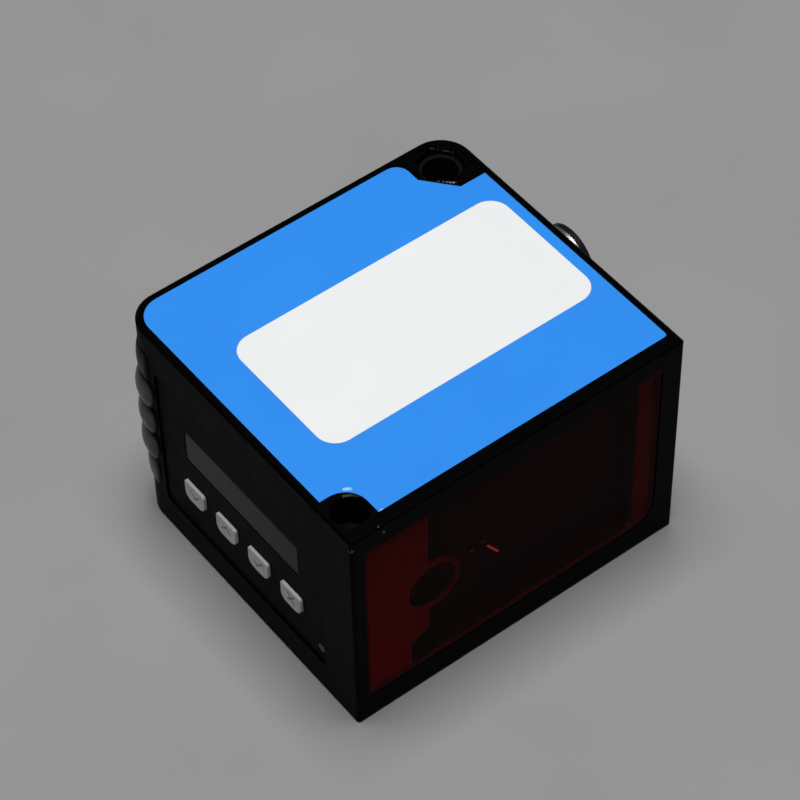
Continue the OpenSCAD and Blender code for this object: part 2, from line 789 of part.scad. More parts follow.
// Pan-head screw along +Z; the head's underside is at z = 0
module pan_screw(length) {
    difference() {
        union() {
            cylinder(h = m2_head_t, r = m2_head_r);
            translate([0, 0, -length]) cylinder(h = length + 0.1, r = m2_pilot_r);
        }
        translate([0, 0, m2_head_t - 0.7]) cylinder(h = 1, r = 0.75, $fn = 6);
    }
}

module optics_screws() color([0.6, 0.6, 0.6]) {
    for (x = ear_x) translate([x, ear_y, ear_z + ear_t]) pan_screw(ear_z + ear_t - screw_tip_z);
}

module main_board() color([0.08, 0.35, 0.18]) {
    difference() {
        translate([0, 0, main_z]) linear_extrude(board_t) corner_rect(main_lo, main_hi, [0.5, 0.5, 0.5, 0.5]);
        for (p = main_posts) translate([p[0], p[1], 0]) cylinder(h = 20, r = m2_r + fit_gap);
    }
}

// Processor, memory, coil, two capacitors and the two flex sockets
module board_parts() color([0.12, 0.12, 0.13]) {
    top = main_z + board_t;
    mid = (main_lo + main_hi) / 2;
    translate([mid[0] - 5, mid[1] - 4, top]) cube([10, 10, 1.2]);
    translate([mid[0] + 6.5, mid[1] + 2.5, top]) cube([5, 6, 1]);
    translate([mid[0] - 12.5, mid[1] - 6.5, top]) cube([5, 5, 3]);
    for (i = [0, 1]) translate([mid[0] - 3 + 5.2 * i, main_hi[1] - 2.3, top]) cylinder(h = 5.5, r = 2);
    translate([display_socket_x, display_flex_y - 0.3, top]) cube([2, display_flex_w + 0.6, 1.2]);
    translate([power_socket_x - 2, power_flex_y - 0.3, top]) cube([2, power_flex_w + 0.6, 1.2]);
}

module board_screws() color([0.6, 0.6, 0.6]) {
    for (p = main_posts) translate([p[0], p[1], main_z + board_t])
        pan_screw(main_z + board_t - screw_tip_z);
}

module panel_plan(gap) {
    corner_rect([-panel_w / 2 + gap, panel_low + gap], [panel_w / 2 - gap, panel_high - gap],
                [1.5, 1.5, 1.5, 1.5]);
}

// Key outline: flat top, rounded lower corners
module key_plan(i, grow) {
    y = key_ys[i];
    corner_rect([y - key_w / 2 - grow, key_z - key_h / 2 - grow],
                [y + key_w / 2 + grow, key_z + key_h / 2 + grow],
                [1.5, 1.5, 0.5, 0.5]);
}

module glass_plan(gap) {
    corner_rect([-display_w / 2 + gap, display_z - display_h / 2 + gap],
                [display_w / 2 - gap, display_z + display_h / 2 - gap], [0.6, 0.6, 0.6, 0.6]);
}

module control_panel() color([0.1, 0.1, 0.11]) {
    difference() {
        end_plate(panel_x, panel_t) panel_plan(slip);
        for (i = [0 : 3]) end_plate(panel_x - 1, panel_t + 2) key_plan(i, key_gap);
        end_plate(panel_x - 1, glass_t + glass_gap + 1) glass_plan(0);
        end_plate(panel_x - 1, panel_t + 2) glass_plan(0.9);
        rod_x(panel_x - 1, panel_back_x + 1, light_y, light_z, light_r + slip);
    }
}

module display_window() color([0.25, 0.25, 0.25, 0.6]) {
    end_plate(panel_x + glass_gap, glass_t) glass_plan(slip);
}

module display_module() color([0.1, 0.12, 0.12]) {
    difference() {
        end_plate(panel_back_x, display_board_x - panel_back_x)
            corner_rect([-module_w / 2, display_z - module_h / 2], [module_w / 2, display_z + module_h / 2],
                        [0.5, 0.5, 0.5, 0.5]);
        end_plate(panel_back_x - 1, 1.3) glass_plan(0.9);
    }
}

module display_board() color([0.08, 0.35, 0.18]) {
    difference() {
        end_plate(display_board_x, board_t)
            corner_rect(display_board_lo, display_board_hi, [0.5, 0.5, 0.5, 0.5]);
        for (p = display_posts) rod_x(display_board_x - 1, display_board_x + 3, p[0], p[1], m2_r + fit_gap);
    }
}

module display_screws() color([0.6, 0.6, 0.6]) {
    for (p = display_posts)
        translate([display_board_x + board_t, p[0], p[1]]) rotate([0, 90, 0]) pan_screw(display_screw_len);
}

module tact_switches() color([0.15, 0.15, 0.16]) {
    for (y = key_ys) difference() {
        end_plate(switch_x, switch_t) translate([y, key_z]) square(switch_w, center = true);
        rod_x(switch_x - 1, switch_x + switch_t - 0.4, y, key_z, 0.9 + slip);
    }
}

module key(i) color([0.75, 0.76, 0.77]) {
    union() {
        end_plate(panel_x - key_proud, flange_key_x - panel_x + key_proud + eps) key_plan(i, 0);
        end_plate(flange_key_x, flange_key_t) key_plan(i, flange_key_rim);
        rod_x(plunger_x - eps, stem_x, key_ys[i], key_z, 1.1);
    }
}

module key_down() key(0);
module key_up() key(1);
module key_accept() key(2);
module key_cancel() key(3);

module stem(i) color([0.85, 0.85, 0.8]) {
    rod_x(stem_x, switch_x + switch_t - 0.4 - key_travel - 0.1, key_ys[i], key_z, 0.9);
}

module stem_down() stem(0);
module stem_up() stem(1);
module stem_accept() stem(2);
module stem_cancel() stem(3);

module status_light() color([0.08, 0.1, 0.35]) {
    rod_x(panel_x, inner_x - 0.6, light_y, light_z, light_r);
}

// Thin strip in the X-Z plane: down a board, round a bend, onto the main board
module flex_profile(x0, z_top, z_low, bend, run) {
    difference() {
        union() {
            translate([x0, z_low + bend]) square([flex_t, z_top - z_low - bend]);
            translate([x0 + bend, z_low + bend]) intersection() {
                difference() {
                    circle(bend);
                    circle(bend - flex_t);
                }
                translate([-bend, -bend]) square(bend);
            }
            translate([x0 + bend, z_low]) square([run, flex_t]);
        }
    }
}

module display_flex() color([0.8, 0.5, 0.2]) {
    x0 = display_board_x + board_t;
    front_plate(display_flex_y, display_flex_w)
        flex_profile(x0, 14, main_z + board_t, 1.5, display_socket_x - x0 - 1.5);
}

module power_flex() color([0.8, 0.5, 0.2]) {
    top = main_z + board_t;
    bend = 2;
    union() {
        translate([pin_back - flex_t, plug_y - 3.4, plug_z - 3.4]) cube([flex_t, 6.8, 6.8]);
        mirror([1, 0, 0]) front_plate(power_flex_y, power_flex_w)
            flex_profile(-pin_back, plug_z, top, bend, pin_back - bend - power_socket_x);
    }
}

module connector_shell() color([0.72, 0.72, 0.74]) {
    difference() {
        union() {
            rod_x(insert_back, sleeve_end, plug_y, plug_z, sleeve_r);
            rod_x(half_w, half_w + flange_t, plug_y, plug_z, flange_r);
        }
        rod_x(insert_back - 1, plug_end + 1, plug_y, plug_z, bore_plug_r);
        translate([half_w, plug_y, plug_z]) rotate([0, 90, 0]) rotate_extrude()
            translate([sleeve_r + 0.7, -eps]) square([1.1, 1.05]);
    }
}

module connector_insert() color([0.06, 0.06, 0.06]) {
    difference() {
        union() {
            rod_x(insert_back, sleeve_end + eps, plug_y, plug_z, bore_plug_r - 0.02);
            rod_x(sleeve_end, plug_end, plug_y, plug_z, end_ring_r);
        }
        rod_x(insert_face, plug_end + 1, plug_y, plug_z, socket_r);
        pin_rods(insert_back - 1, insert_face + 1);
        rod_x(insert_face - eps, plug_end + 1, plug_y, plug_z + socket_r, 0.5);
    }
}

module pin_rods(x0, x1) {
    rod_x(x0, x1, plug_y, plug_z, pin_r);
    for (a = [45 : 90 : 315])
        rod_x(x0, x1, plug_y + pin_ring_r * cos(a), plug_z + pin_ring_r * sin(a), pin_r);
}

module connector_pins() color([0.85, 0.7, 0.3]) pin_rods(pin_back, pin_front);

module connector_seal() color([0.1, 0.1, 0.1]) {
    translate([half_w + 0.5, plug_y, plug_z]) rotate([0, 90, 0]) rotate_extrude()
        translate([sleeve_r + 1.25, 0]) circle(0.5);
}

module connector_nut() color([0.7, 0.7, 0.7]) {
    difference() {
        translate([far_inner_x - nut_t, plug_y, plug_z]) rotate([0, 90, 0])
            cylinder(h = nut_t, r = nut_af / sqrt(3), $fn = 6);
        rod_x(far_inner_x - nut_t - 1, far_inner_x + 1, plug_y, plug_z, sleeve_r + slip);
    }
}

housing();
side_cover();
cover_gasket();
cover_screws();
side_label();
white_label();
window();
window_seal();
aperture_plate();
lens_clip();
optics_block();
receiver_lens();
emitter_lens();
laser_barrel();
laser_diode();
detector();
receiver_board();
shield_can();
optics_screws();
main_board();
board_parts();
board_screws();
control_panel();
display_window();
display_module();
display_board();
display_screws();
tact_switches();
key_down();
key_up();
key_accept();
key_cancel();
stem_down();
stem_up();
stem_accept();
stem_cancel();
status_light();
display_flex();
power_flex();
connector_shell();
connector_insert();
connector_pins();
connector_seal();
connector_nut();
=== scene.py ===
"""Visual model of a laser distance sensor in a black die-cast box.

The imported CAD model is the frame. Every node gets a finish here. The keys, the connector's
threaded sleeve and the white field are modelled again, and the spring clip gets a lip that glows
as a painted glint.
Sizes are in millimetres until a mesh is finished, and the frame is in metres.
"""

import logging
import math
from dataclasses import dataclass, field
from enum import Enum
from typing import Any, Callable, Iterable, Sequence, Union

import bmesh
import bpy
from mathutils import Euler, Matrix, Vector


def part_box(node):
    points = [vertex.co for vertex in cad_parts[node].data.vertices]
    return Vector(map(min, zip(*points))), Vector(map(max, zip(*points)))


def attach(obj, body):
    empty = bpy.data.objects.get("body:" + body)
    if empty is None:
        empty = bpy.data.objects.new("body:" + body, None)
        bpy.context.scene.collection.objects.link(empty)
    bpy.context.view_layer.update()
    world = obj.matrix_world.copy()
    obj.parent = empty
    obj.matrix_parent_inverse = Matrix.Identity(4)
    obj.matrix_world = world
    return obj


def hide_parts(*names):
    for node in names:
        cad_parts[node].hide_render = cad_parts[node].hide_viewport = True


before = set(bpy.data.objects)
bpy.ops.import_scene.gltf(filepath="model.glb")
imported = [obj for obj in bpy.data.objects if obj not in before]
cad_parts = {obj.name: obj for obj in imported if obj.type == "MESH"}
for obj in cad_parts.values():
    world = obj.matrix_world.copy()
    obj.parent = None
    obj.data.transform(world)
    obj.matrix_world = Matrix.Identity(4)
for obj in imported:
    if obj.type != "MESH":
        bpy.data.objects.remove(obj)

LOG = logging.getLogger("sensor")
MM = 0.001
# Coordinates in millimetres that differ by less than this count as equal.
NEAR = 1e-4
Colour = tuple[float, float, float]
Point = tuple[float, float, float]
Pair = tuple[float, float]
Spot = tuple[float, float, float, float]
Value = Union["Wire", float, Sequence[float]]


class Axis(Enum):
    """A direction in the frame, as the index of its coordinate."""

    X = 0
    Y = 1
    Z = 2


class Mark(Enum):
    """The sign printed on a key."""

    DOWN = "down"
    UP = "up"
    ACCEPT = "accept"
    CANCEL = "cancel"


# Shader maths


class Wire:
    """A node's output whose arithmetic adds the Math nodes it needs."""

    def __init__(self, bench: "Bench", socket: bpy.types.NodeSocket) -> None:
        """Keeps the bench that owns the node tree, and the socket."""
        self.bench = bench
        self.socket = socket

    def math(self, operation: str, *others: Value, clamp: bool = False) -> "Wire":
        """Adds a Math node whose first value is this wire.

        Args:
            operation: the Math node's operation.
            others: its further values.
            clamp: whether the result stays between 0 and 1.

        Returns:
            The node's result.
        """
        return self.bench.math(operation, self, *others, clamp=clamp)

    def __add__(self, other: Value) -> "Wire":
        """Sum."""
        return self.math("ADD", other)

    def __sub__(self, other: Value) -> "Wire":
        """Difference."""
        return self.math("SUBTRACT", other)

    def __mul__(self, other: Value) -> "Wire":
        """Product."""
        return self.math("MULTIPLY", other)

    def __truediv__(self, other: Value) -> "Wire":
        """Quotient."""
        return self.math("DIVIDE", other)

    def __gt__(self, other: Value) -> "Wire":
        """1 where this wire is greater, else 0."""
        return self.math("GREATER_THAN", other)

    def __lt__(self, other: Value) -> "Wire":
        """1 where this wire is less, else 0."""
        return self.math("LESS_THAN", other)

    def __rsub__(self, other: Value) -> "Wire":
        """Difference, with this wire taken from other."""
        return self.bench.math("SUBTRACT", other, self)

    __radd__ = __add__
    __rmul__ = __mul__

    def clip(self, low: float, high: float) -> "Wire":
        """This wire spread from low..high to 0..1, and kept there."""
        return ((self - low) / (high - low)).math("ADD", 0.0, clamp=True)


class Bench:
    """The node tree of one finish, read in millimetres of the object's own coordinates.

    MASK is how far a rounded normal leans from the true one on a plain face and on a full edge.
    """

    MASK: Pair = (0.02, 0.28)

    def __init__(self, tree: bpy.types.NodeTree) -> None:
        """Clears the tree and takes it."""
        self.tree = tree
        tree.nodes.clear()

    def node(self, kind: str, settings: dict[str, Any], sockets: dict[Any, Value]) -> bpy.types.Node:
        """Adds any node.

        Args:
            kind: the node's type.
            settings: its properties, set first.
            sockets: values or wires for its inputs, by name or index.

        Returns:
            The node.
        """
        made = self.tree.nodes.new(kind)
        for name, value in settings.items():
            setattr(made, name, value)
        for name, value in sockets.items():
            if isinstance(value, Wire):
                self.tree.links.new(value.socket, made.inputs[name])
            else:
                made.inputs[name].default_value = value
        return made

    def wire(
        self, kind: str, settings: dict[str, Any], sockets: dict[Any, Value], out: Any = 0
    ) -> Wire:
        """Adds a node as node() does, and gives one of its outputs."""
        return Wire(self, self.node(kind, settings, sockets).outputs[out])

    def math(self, operation: str, *values: Value, clamp: bool = False) -> Wire:
        """Adds a Math node.

        Args:
            operation: the node's operation.
            values: its values in order.
            clamp: whether the result stays between 0 and 1.

        Returns:
            The node's result.
        """
        settings = {"operation": operation, "use_clamp": clamp}
        return self.wire("ShaderNodeMath", settings, dict(enumerate(values)))

    def vector(self, operation: str, *values: Value, out: int = 0) -> Wire:
        """Adds a Vector Math node and gives its vector, or with out=1 its value."""
        return self.wire("ShaderNodeVectorMath", {"operation": operation}, dict(enumerate(values)), out)

    def place(self, stretch: Point = (1.0, 1.0, 1.0)) -> Wire:
        """The object's coordinates in millimetres, each multiplied by its stretch."""
        raw = self.wire("ShaderNodeTexCoord", {}, {}, "Object")
        return self.vector("MULTIPLY", raw, [s / MM for s in stretch])

    def along(self, axis: Axis, of: "Wire | None" = None) -> Wire:
        """One coordinate of a vector, or of the place in millimetres."""
        return self.wire("ShaderNodeSeparateXYZ", {}, {0: of or self.place()}, axis.value)

    def noise(
        self, size: float, detail: float = 2.0, of: "Wire | None" = None, seed: float = 0.0
    ) -> Wire:
        """Soft noise from about 0 to 1.

        Args:
            size: how many millimetres one blotch takes.
            detail: how many finer layers lie on it.
            of: the vector that it reads, or the place.
            seed: shifts the pattern, so that two finishes differ.

        Returns:
            The noise.
        """
        at = self.vector("ADD", of or self.place(), (seed, seed * 1.7, -seed))
        sockets = {"Vector": at, "Scale": 1 / size, "Detail": detail}
        return self.wire("ShaderNodeTexNoise", {"noise_dimensions": "3D"}, sockets)

    def cells(self, size: float, feature: str = "F1", of: "Wire | None" = None) -> Wire:
        """Distance in a cell pattern, as a share of the cell's size in millimetres."""
        sockets = {"Vector": of or self.place(), "Scale": 1 / size}
        return self.wire("ShaderNodeTexVoronoi", {"feature": feature}, sockets, "Distance")

    def blend(self, share: Value, first: Value, second: Value) -> Wire:
        """Mixes two colours.

        Args:
            share: how much of the second shows.
            first: a colour or a wire.
            second: a colour or a wire.

        Returns:
            The mixed colour.
        """
        paint = [v if isinstance(v, Wire) else (*v, 1.0) for v in (first, second)]
        sockets = {0: share, 6: paint[0], 7: paint[1]}
        return self.wire("ShaderNodeMix", {"data_type": "RGBA"}, sockets, 2)

    def edge(self, radius: float) -> tuple[Wire, Wire]:
        """Rounds the edges that light sees.

        Args:
            radius: the rounding in millimetres.

        Returns:
            The rounded normal, and a mask that is 1 on an edge and 0 on a face.
        """
        soft = self.wire("ShaderNodeBevel", {"samples": 4}, {"Radius": radius * MM})
        true = self.wire("ShaderNodeNewGeometry", {}, {}, "Normal")
        return soft, (1 - self.vector("DOT_PRODUCT", soft, true, out=1)).clip(*self.MASK)

    def bump(self, height: Wire, depth: float, normal: "Wire | None" = None) -> Wire:
        """A normal with relief: height from 0 to 1 stands for depth in millimetres."""
        sockets = {"Height": height, "Distance": depth * MM, "Strength": 1.0}
        if normal is not None:
            sockets["Normal"] = normal
        return self.wire("ShaderNodeBump", {}, sockets)

    def finish(self, shader: Wire) -> None:
        """Wires the shader to the tree's output."""
        self.node("ShaderNodeOutputMaterial", {}, {"Surface": shader})


# Finishes


@dataclass(frozen=True)
class Finish:
    """An opaque surface: a colour that varies a little, a fine grain and rounded edges.

    The defaults are those of a painted or moulded surface; the classes below change the parts
    that make a surface look like itself. The edge colour is wear, and on the blue film a painted
    highlight. Spots are small scuffs, which are partly painted highlights, and painted glints, each
    with its place and its strength, and noise frays their edges.
    """

    colour: Colour
    rough: float = 0.5
    metal: float = 0.0
    shine: float = 0.5
    tone: float = 0.12
    tone_size: float = 6.0
    grain_size: float = 0.25
    grain_depth: float = 0.006
    rough_spread: float = 0.08
    edge_radius: float = 0.12
    edge_polish: float = 0.2
    edge_wear_and_sheen: float = 0.0
    edge_wear_and_sheen_colour: Colour = (0.12, 0.12, 0.125)
    spots: tuple[Spot, ...] = ()
    spot_radius: float = 0.22
    spot_fray: float = 0.2
    spot_colour: Colour = (0.2, 0.2, 0.205)

    def make(self, name: str) -> bpy.types.Material:
        """Builds the material.

        Args:
            name: the material's name.

        Returns:
            The material.
        """
        made = bpy.data.materials.new(name)
        made.use_nodes = True
        bench = Bench(made.node_tree)
        bench.finish(self.shader(bench))
        return made

    def shader(self, bench: Bench) -> Wire:
        """The Principled shader of this finish."""
        soft, mask = bench.edge(self.edge_radius)
        return bench.wire("ShaderNodeBsdfPrincipled", {}, {
            "Base Color": self.tint(bench, mask),
            "Roughness": self.polish(bench, mask),
            "Metallic": self.metal,
            "Specular IOR Level": self.shine,
            "Normal": bench.bump(self.relief(bench), self.grain_depth, soft),
            **self.extras(bench),
        })

    def extras(self, bench: Bench) -> dict[str, Value]:
        """Further sockets of the Principled shader."""
        return {}

    def body(self, bench: Bench) -> Wire:
        """The colour without wear: the written one, a little lighter and darker in soft patches."""
        dark = tuple(c * (1 - self.tone) for c in self.colour)
        light = tuple(min(1.0, c * (1 + self.tone)) for c in self.colour)
        return bench.blend(bench.noise(self.tone_size, 3.0).clip(0.3, 0.7), dark, light)

    def tint(self, bench: Bench, mask: Wire) -> Wire:
        """The body's colour with the wear that edges get, which on the blue film is a painted highlight,
        and with the spots.

        Args:
            bench: the node tree.
            mask: 1 on an edge.

        Returns:
            The colour.
        """
        paint = self.body(bench)
        # Edge wear; on the blue film the pale edge colour is a painted highlight.
        if self.edge_wear_and_sheen:
            rubbed_and_sheen = mask * bench.noise(0.9, 4.0, seed=11.0).clip(0.42, 0.75) * self.edge_wear_and_sheen
            paint = bench.blend(rubbed_and_sheen, paint, self.edge_wear_and_sheen_colour)
        # Spots: scuffs and painted glints.
        for *spot, share in self.spots:
            away = bench.vector("DISTANCE", bench.place(), spot, out=1)
            inside = away + bench.noise(0.3) * self.spot_fray < self.spot_radius + self.spot_fray / 2
            paint = bench.blend(inside * share, paint, self.spot_colour)
        return paint

    def polish(self, bench: Bench, mask: Wire) -> Wire:
        """Roughness, which varies in patches and falls where edges are rubbed."""
        patches = bench.noise(self.tone_size * 0.6, 3.0, seed=5.0) - 0.5
        rubbed_and_sheen = mask * (self.edge_polish * self.rough)
        return self.rough + patches * (2 * self.rough_spread) - rubbed_and_sheen

    def relief(self, bench: Bench) -> Wire:
        """Height of the grain, from 0 to 1."""
        return bench.noise(self.grain_size, 2.0)


@dataclass(frozen=True)
class Casting(Finish):
    """Painted die casting: a soft orange peel with fine specks, and edges rubbed a little.

    A speck's radius is a share of their pitch, and glint is how much clear coat an edge shows.
    """

    speck: Colour = (0.012, 0.012, 0.013)
    speck_pitch: float = 0.55
    speck_radius: float = 0.09
    glint: float = 0.2
    glint_rough: float = 0.3

    def extras(self, bench: Bench) -> dict[str, Value]:
        """A clear coat that only the edges show, where rubbing has polished the paint."""
        mask = bench.edge(self.edge_radius * 1.5)[1]
        return {"Coat Weight": mask * self.glint, "Coat Roughness": self.glint_rough}

    def body(self, bench: Bench) -> Wire:
        """The paint's colour with a few lighter specks in it."""
        dots = bench.cells(self.speck_pitch) < self.speck_radius
        patches = bench.noise(4.0, seed=3.0).clip(0.5, 0.62)
        return bench.blend(dots * patches, super().body(bench), self.speck)

    def relief(self, bench: Bench) -> Wire:
        """Orange peel under a finer grain."""
        return bench.noise(self.grain_size * 5, 1.0) * 0.7 + bench.noise(self.grain_size, 2.0) * 0.3


@dataclass(frozen=True)
class Ribbed(Casting):
    """The housing's paint, rubbed smooth where the ribs stand out past its flat faces, and paler there with
    a painted sheen.

    Reach is half the housing's width and depth between the flat faces, and the rear corners are
    round. The painted sheen and the polish are full from the height of a crest, and weaker above
    the top rib's foot. Sill bounds the web under the window: its front, its back, its top and how
    far it stays inside the end faces; the web gets painted light. The screw pockets are paler below
    their rim, with dust and painted light.
    """

    reach: Pair = (31.35, 28.85)
    rear_corner: float = 5.5
    crest: float = 0.5
    rubbed_and_sheen: Colour = (0.065, 0.064, 0.061)
    polish_share: float = 0.7
    top_rib: Pair = (31.0, 34.0)
    top_loss: float = 0.6
    sill: tuple[float, float, float, float] = (-27.7, -25.3, 6.8, 1.5)
    lit: Colour = (0.035, 0.03, 0.03)
    pockets: tuple[Pair, ...] = ((-27.5, -23.65), (25.75, 23.25))
    pocket_radius: float = 3.4
    pocket_rim: float = 43.4
    dust_and_painted_light: Colour = (0.006, 0.006, 0.0065)

    def body(self, bench: Bench) -> Wire:
        """The paint's colour, with a painted sheen on the ribs, painted light on the web under the window,
        and dust and painted light in the pockets.
        """
        at = bench.place()
        blotch = bench.noise(2.5, 2.0, seed=17.0).clip(-0.2, 0.6)
        # Rubbed paint and painted sheen: the rib crests are paler, in blotches.
        paint = bench.blend(self.crests(bench) * blotch, super().body(bench), self.rubbed_and_sheen)
        front, back, top, inset = self.sill
        depth, height = bench.along(Axis.Y, at), bench.along(Axis.Z, at)
        inside = bench.along(Axis.X, at).math("ABSOLUTE") < self.reach[0] - inset
        web = (depth > front) * (depth < back) * (height < top)
        # Painted light: the web under the window is paler, as if lit from above.
        paint = bench.blend(web * inside, paint, self.lit)
        for centre in self.pockets:
            flat = bench.place((1.0, 1.0, 0.0))
            away = bench.vector("DISTANCE", flat, (*centre, 0.0), out=1)
            sunk = (away < self.pocket_radius) * (height < self.pocket_rim)
            # Dust and painted light: the screw pockets are paler below their rim.
            paint = bench.blend(sunk, paint, self.dust_and_painted_light)
        return paint

    def crests(self, bench: Bench) -> Wire:
        """1 on the crests of the ribs, less towards their feet, and 0 on the flat faces."""
        at = bench.place()
        width, depth = (self.rear_corner - reach for reach in self.reach)
        side = (bench.along(Axis.X, at).math("ABSOLUTE") + width).math("MAXIMUM", 0.0)
        back = (bench.along(Axis.Y, at) + depth).math("MAXIMUM", 0.0)
        out = (side * side + back * back).math("SQRT") - self.rear_corner
        return out.clip(0.0, self.crest) * (1 - bench.along(Axis.Z, at).clip(*self.top_rib) * self.top_loss)

    def extras(self, bench: Bench) -> dict[str, Value]:
        """The clear coat of the edges, and more of it on the ribs."""
        coat = super().extras(bench)
        polish = self.crests(bench) * self.polish_share
        coat["Coat Weight"] = coat["Coat Weight"].math("MAXIMUM", polish)
        return coat


@dataclass(frozen=True)
class Moulding(Finish):
    """Moulded plastic with the fine pits of a spark-eroded tool."""

    def relief(self, bench: Bench) -> Wire:
        """Rounded pits close together, over slow waves."""
        pits = bench.cells(self.grain_size, "SMOOTH_F1")
        return pits * 0.8 + bench.noise(self.grain_size * 12, 1.0) * 0.6


@dataclass(frozen=True)
class Plate(Moulding):
    """Pale plate that lies deep behind the window, with painted shade on its far and upper parts, where
    little light reaches.

    Fall, rise and roof are the places in millimetres between which it darkens along X, up from the
    lower edge, and under the frame, and dusk is how much it darkens on each of these ways.
    """

    fall: Pair = (-24.0, -13.0)
    rise: Pair = (6.0, 26.0)
    roof: Pair = (33.0, 40.0)
    dusk: tuple[float, float, float] = (0.55, 0.22, 0.6)

    def body(self, bench: Bench) -> Wire:
        """The plate's colour with its painted shade."""
        at = bench.place()
        ways = ((Axis.X, self.fall), (Axis.Z, self.rise), (Axis.Z, self.roof))
        far, high, roof = (bench.along(axis, at).clip(*way) * dusk
                           for (axis, way), dusk in zip(ways, self.dusk))
        # Painted shade: darker away from the near end, up from the lower edge, and under the frame.
        shade = far.math("MAXIMUM", high).math("MAXIMUM", roof)
        return bench.blend(shade, super().body(bench), (0.0, 0.0, 0.0))


@dataclass(frozen=True)
class Film(Finish):
    """Printed and laminated film: nearly even, with a faint orange peel and light smears."""

    def polish(self, bench: Bench, mask: Wire) -> Wire:
        """Roughness with long smears where it has been wiped."""
        smear = bench.noise(5.0, 3.0, bench.place((0.25, 1.0, 1.0)))
        return self.rough + (smear.clip(0.45, 0.7) - 0.5) * self.rough_spread + mask * 0.1

    def relief(self, bench: Bench) -> Wire:
        """Slow waves of the glue, and a very fine print screen."""
        return bench.noise(2.4, 1.0) * 0.8 + bench.noise(self.grain_size, 1.0) * 0.2


@dataclass(frozen=True)
class Metal(Finish):
    """Bare or plated metal with fine lines along one direction and a little tarnish.

    Drawn is how slowly a pattern changes along its lines, as a share of how it changes across.
    """

    metal: float = 1.0
    lines: Axis = Axis.X
    drawn: float = 0.04
    tarnish: Colour = (0.25, 0.23, 0.2)
    tarnish_share: float = 0.35

    def stretch(self) -> Point:
        """Scale of the place that draws a pattern out along the lines."""
        return tuple(self.drawn if axis is self.lines else 1.0 for axis in Axis)

    def body(self, bench: Bench) -> Wire:
        """The metal's colour, duller in patches."""
        dull = bench.noise(self.tone_size, 4.0, seed=7.0).clip(0.5, 0.85) * self.tarnish_share
        return bench.blend(dull, super().body(bench), self.tarnish)

    def relief(self, bench: Bench) -> Wire:
        """Fine parallel lines with a few deeper scratches."""
        drawn = bench.place(self.stretch())
        deep = bench.noise(self.grain_size * 3, 2.0, drawn, 2.0) > 0.66
        return bench.noise(self.grain_size, 3.0, drawn) - deep * 0.3


@dataclass(frozen=True)
class Turned(Metal):
    """Metal turned on a lathe: rings round the axis from the feed of the tool."""

    def stretch(self) -> Point:
        """Scale of the place that keeps the pattern only along the axis."""
        return tuple(1.0 if axis is self.lines else self.drawn for axis in Axis)


@dataclass(frozen=True)
class Collared(Turned):
    """Turned metal whose collar is blackened.

    Centre is the axis, and past the radius of bright the metal is dark.
    """

    centre: Pair = (10.2, 23.0)
    bright: float = 6.3
    black: Colour = (0.05, 0.052, 0.055)

    def body(self, bench: Bench) -> Wire:
        """The metal's colour, dark on the collar."""
        at = bench.place()
        across = bench.along(Axis.Y, at) - self.centre[0]
        up = bench.along(Axis.Z, at) - self.centre[1]
        radius = (across * across + up * up).math("SQRT")
        return bench.blend(radius > self.bright, super().body(bench), self.black)


@dataclass(frozen=True)
class Rubber(Finish):
    """Matt rubber with pale dust held in its pores."""

    dust_and_painted_light: Colour = (0.16, 0.16, 0.155)
    dust_share: float = 0.35

    def body(self, bench: Bench) -> Wire:
        """The rubber's colour with dust in soft patches."""
        held = bench.noise(1.6, 4.0, seed=9.0).clip(0.52, 0.8) * self.dust_share
        return bench.blend(held, super().body(bench), self.dust_and_painted_light)


@dataclass(frozen=True)
class Board(Finish):
    """Circuit board: solder mask over copper tracks, with tinned through-contacts.

    Across and up name the two directions that the board's face spans. A through-contact's ring is
    given by its inner and outer radius as shares of their pitch.
    """

    across: Axis = Axis.X
    up: Axis = Axis.Y
    track: Colour = (0.02, 0.16, 0.07)
    tin: Colour = (0.55, 0.54, 0.5)
    via_pitch: float = 3.4
    via_ring: Pair = (0.055, 0.13)

    def face(self, bench: Bench) -> Wire:
        """The place on the board's face, with the face's two directions first."""
        at = bench.place()
        pair = {0: bench.along(self.across, at), 1: bench.along(self.up, at)}
        return bench.wire("ShaderNodeCombineXYZ", {}, pair)

    def tracks(self, bench: Bench) -> Wire:
        """1 on a copper track under the mask."""
        sockets = {"Vector": self.face(bench), "Scale": 1.0, "Mortar Size": 0.11, "Mortar Smooth": 0.3,
                   "Brick Width": 4.3, "Row Height": 0.62}
        settings = {"offset": 0.37, "squash": 1.6, "squash_frequency": 3}
        grid = bench.wire("ShaderNodeTexBrick", settings, sockets, "Fac")
        return grid * (bench.noise(7.0, 0.0, self.face(bench)) > 0.47)

    def vias(self, bench: Bench) -> Wire:
        """Distance from the nearest through-contact, as a share of their pitch."""
        return bench.cells(self.via_pitch, of=self.face(bench))

    def body(self, bench: Bench) -> Wire:
        """Mask, tracks that shine through it and tinned rings."""
        masked = bench.blend(self.tracks(bench), super().body(bench), self.track)
        inner, outer = self.via_ring
        ring = (self.vias(bench) < outer) * (self.vias(bench) > inner)
        return bench.blend(ring, masked, self.tin)

    def relief(self, bench: Bench) -> Wire:
        """Tracks that stand up a little."""
        return self.tracks(bench) * 0.8 + bench.noise(0.4) * 0.2


@dataclass(frozen=True)
class Flex(Finish):
    """Amber flat circuit with straight copper tracks, whose edges are shares of their pitch."""

    copper: Colour = (0.62, 0.3, 0.1)
    pitch: float = 0.8
    track: Pair = (0.3, 0.72)
    across: Axis = Axis.Y

    def tracks(self, bench: Bench) -> Wire:
        """1 on a track."""
        wave = (bench.along(self.across) / self.pitch).math("FRACT")
        return (wave > self.track[0]) * (wave < self.track[1])

    def body(self, bench: Bench) -> Wire:
        """The film's colour over copper."""
        return bench.blend(self.tracks(bench), super().body(bench), self.copper)

    def relief(self, bench: Bench) -> Wire:
        """Tracks pressed through the film."""
        return self.tracks(bench)


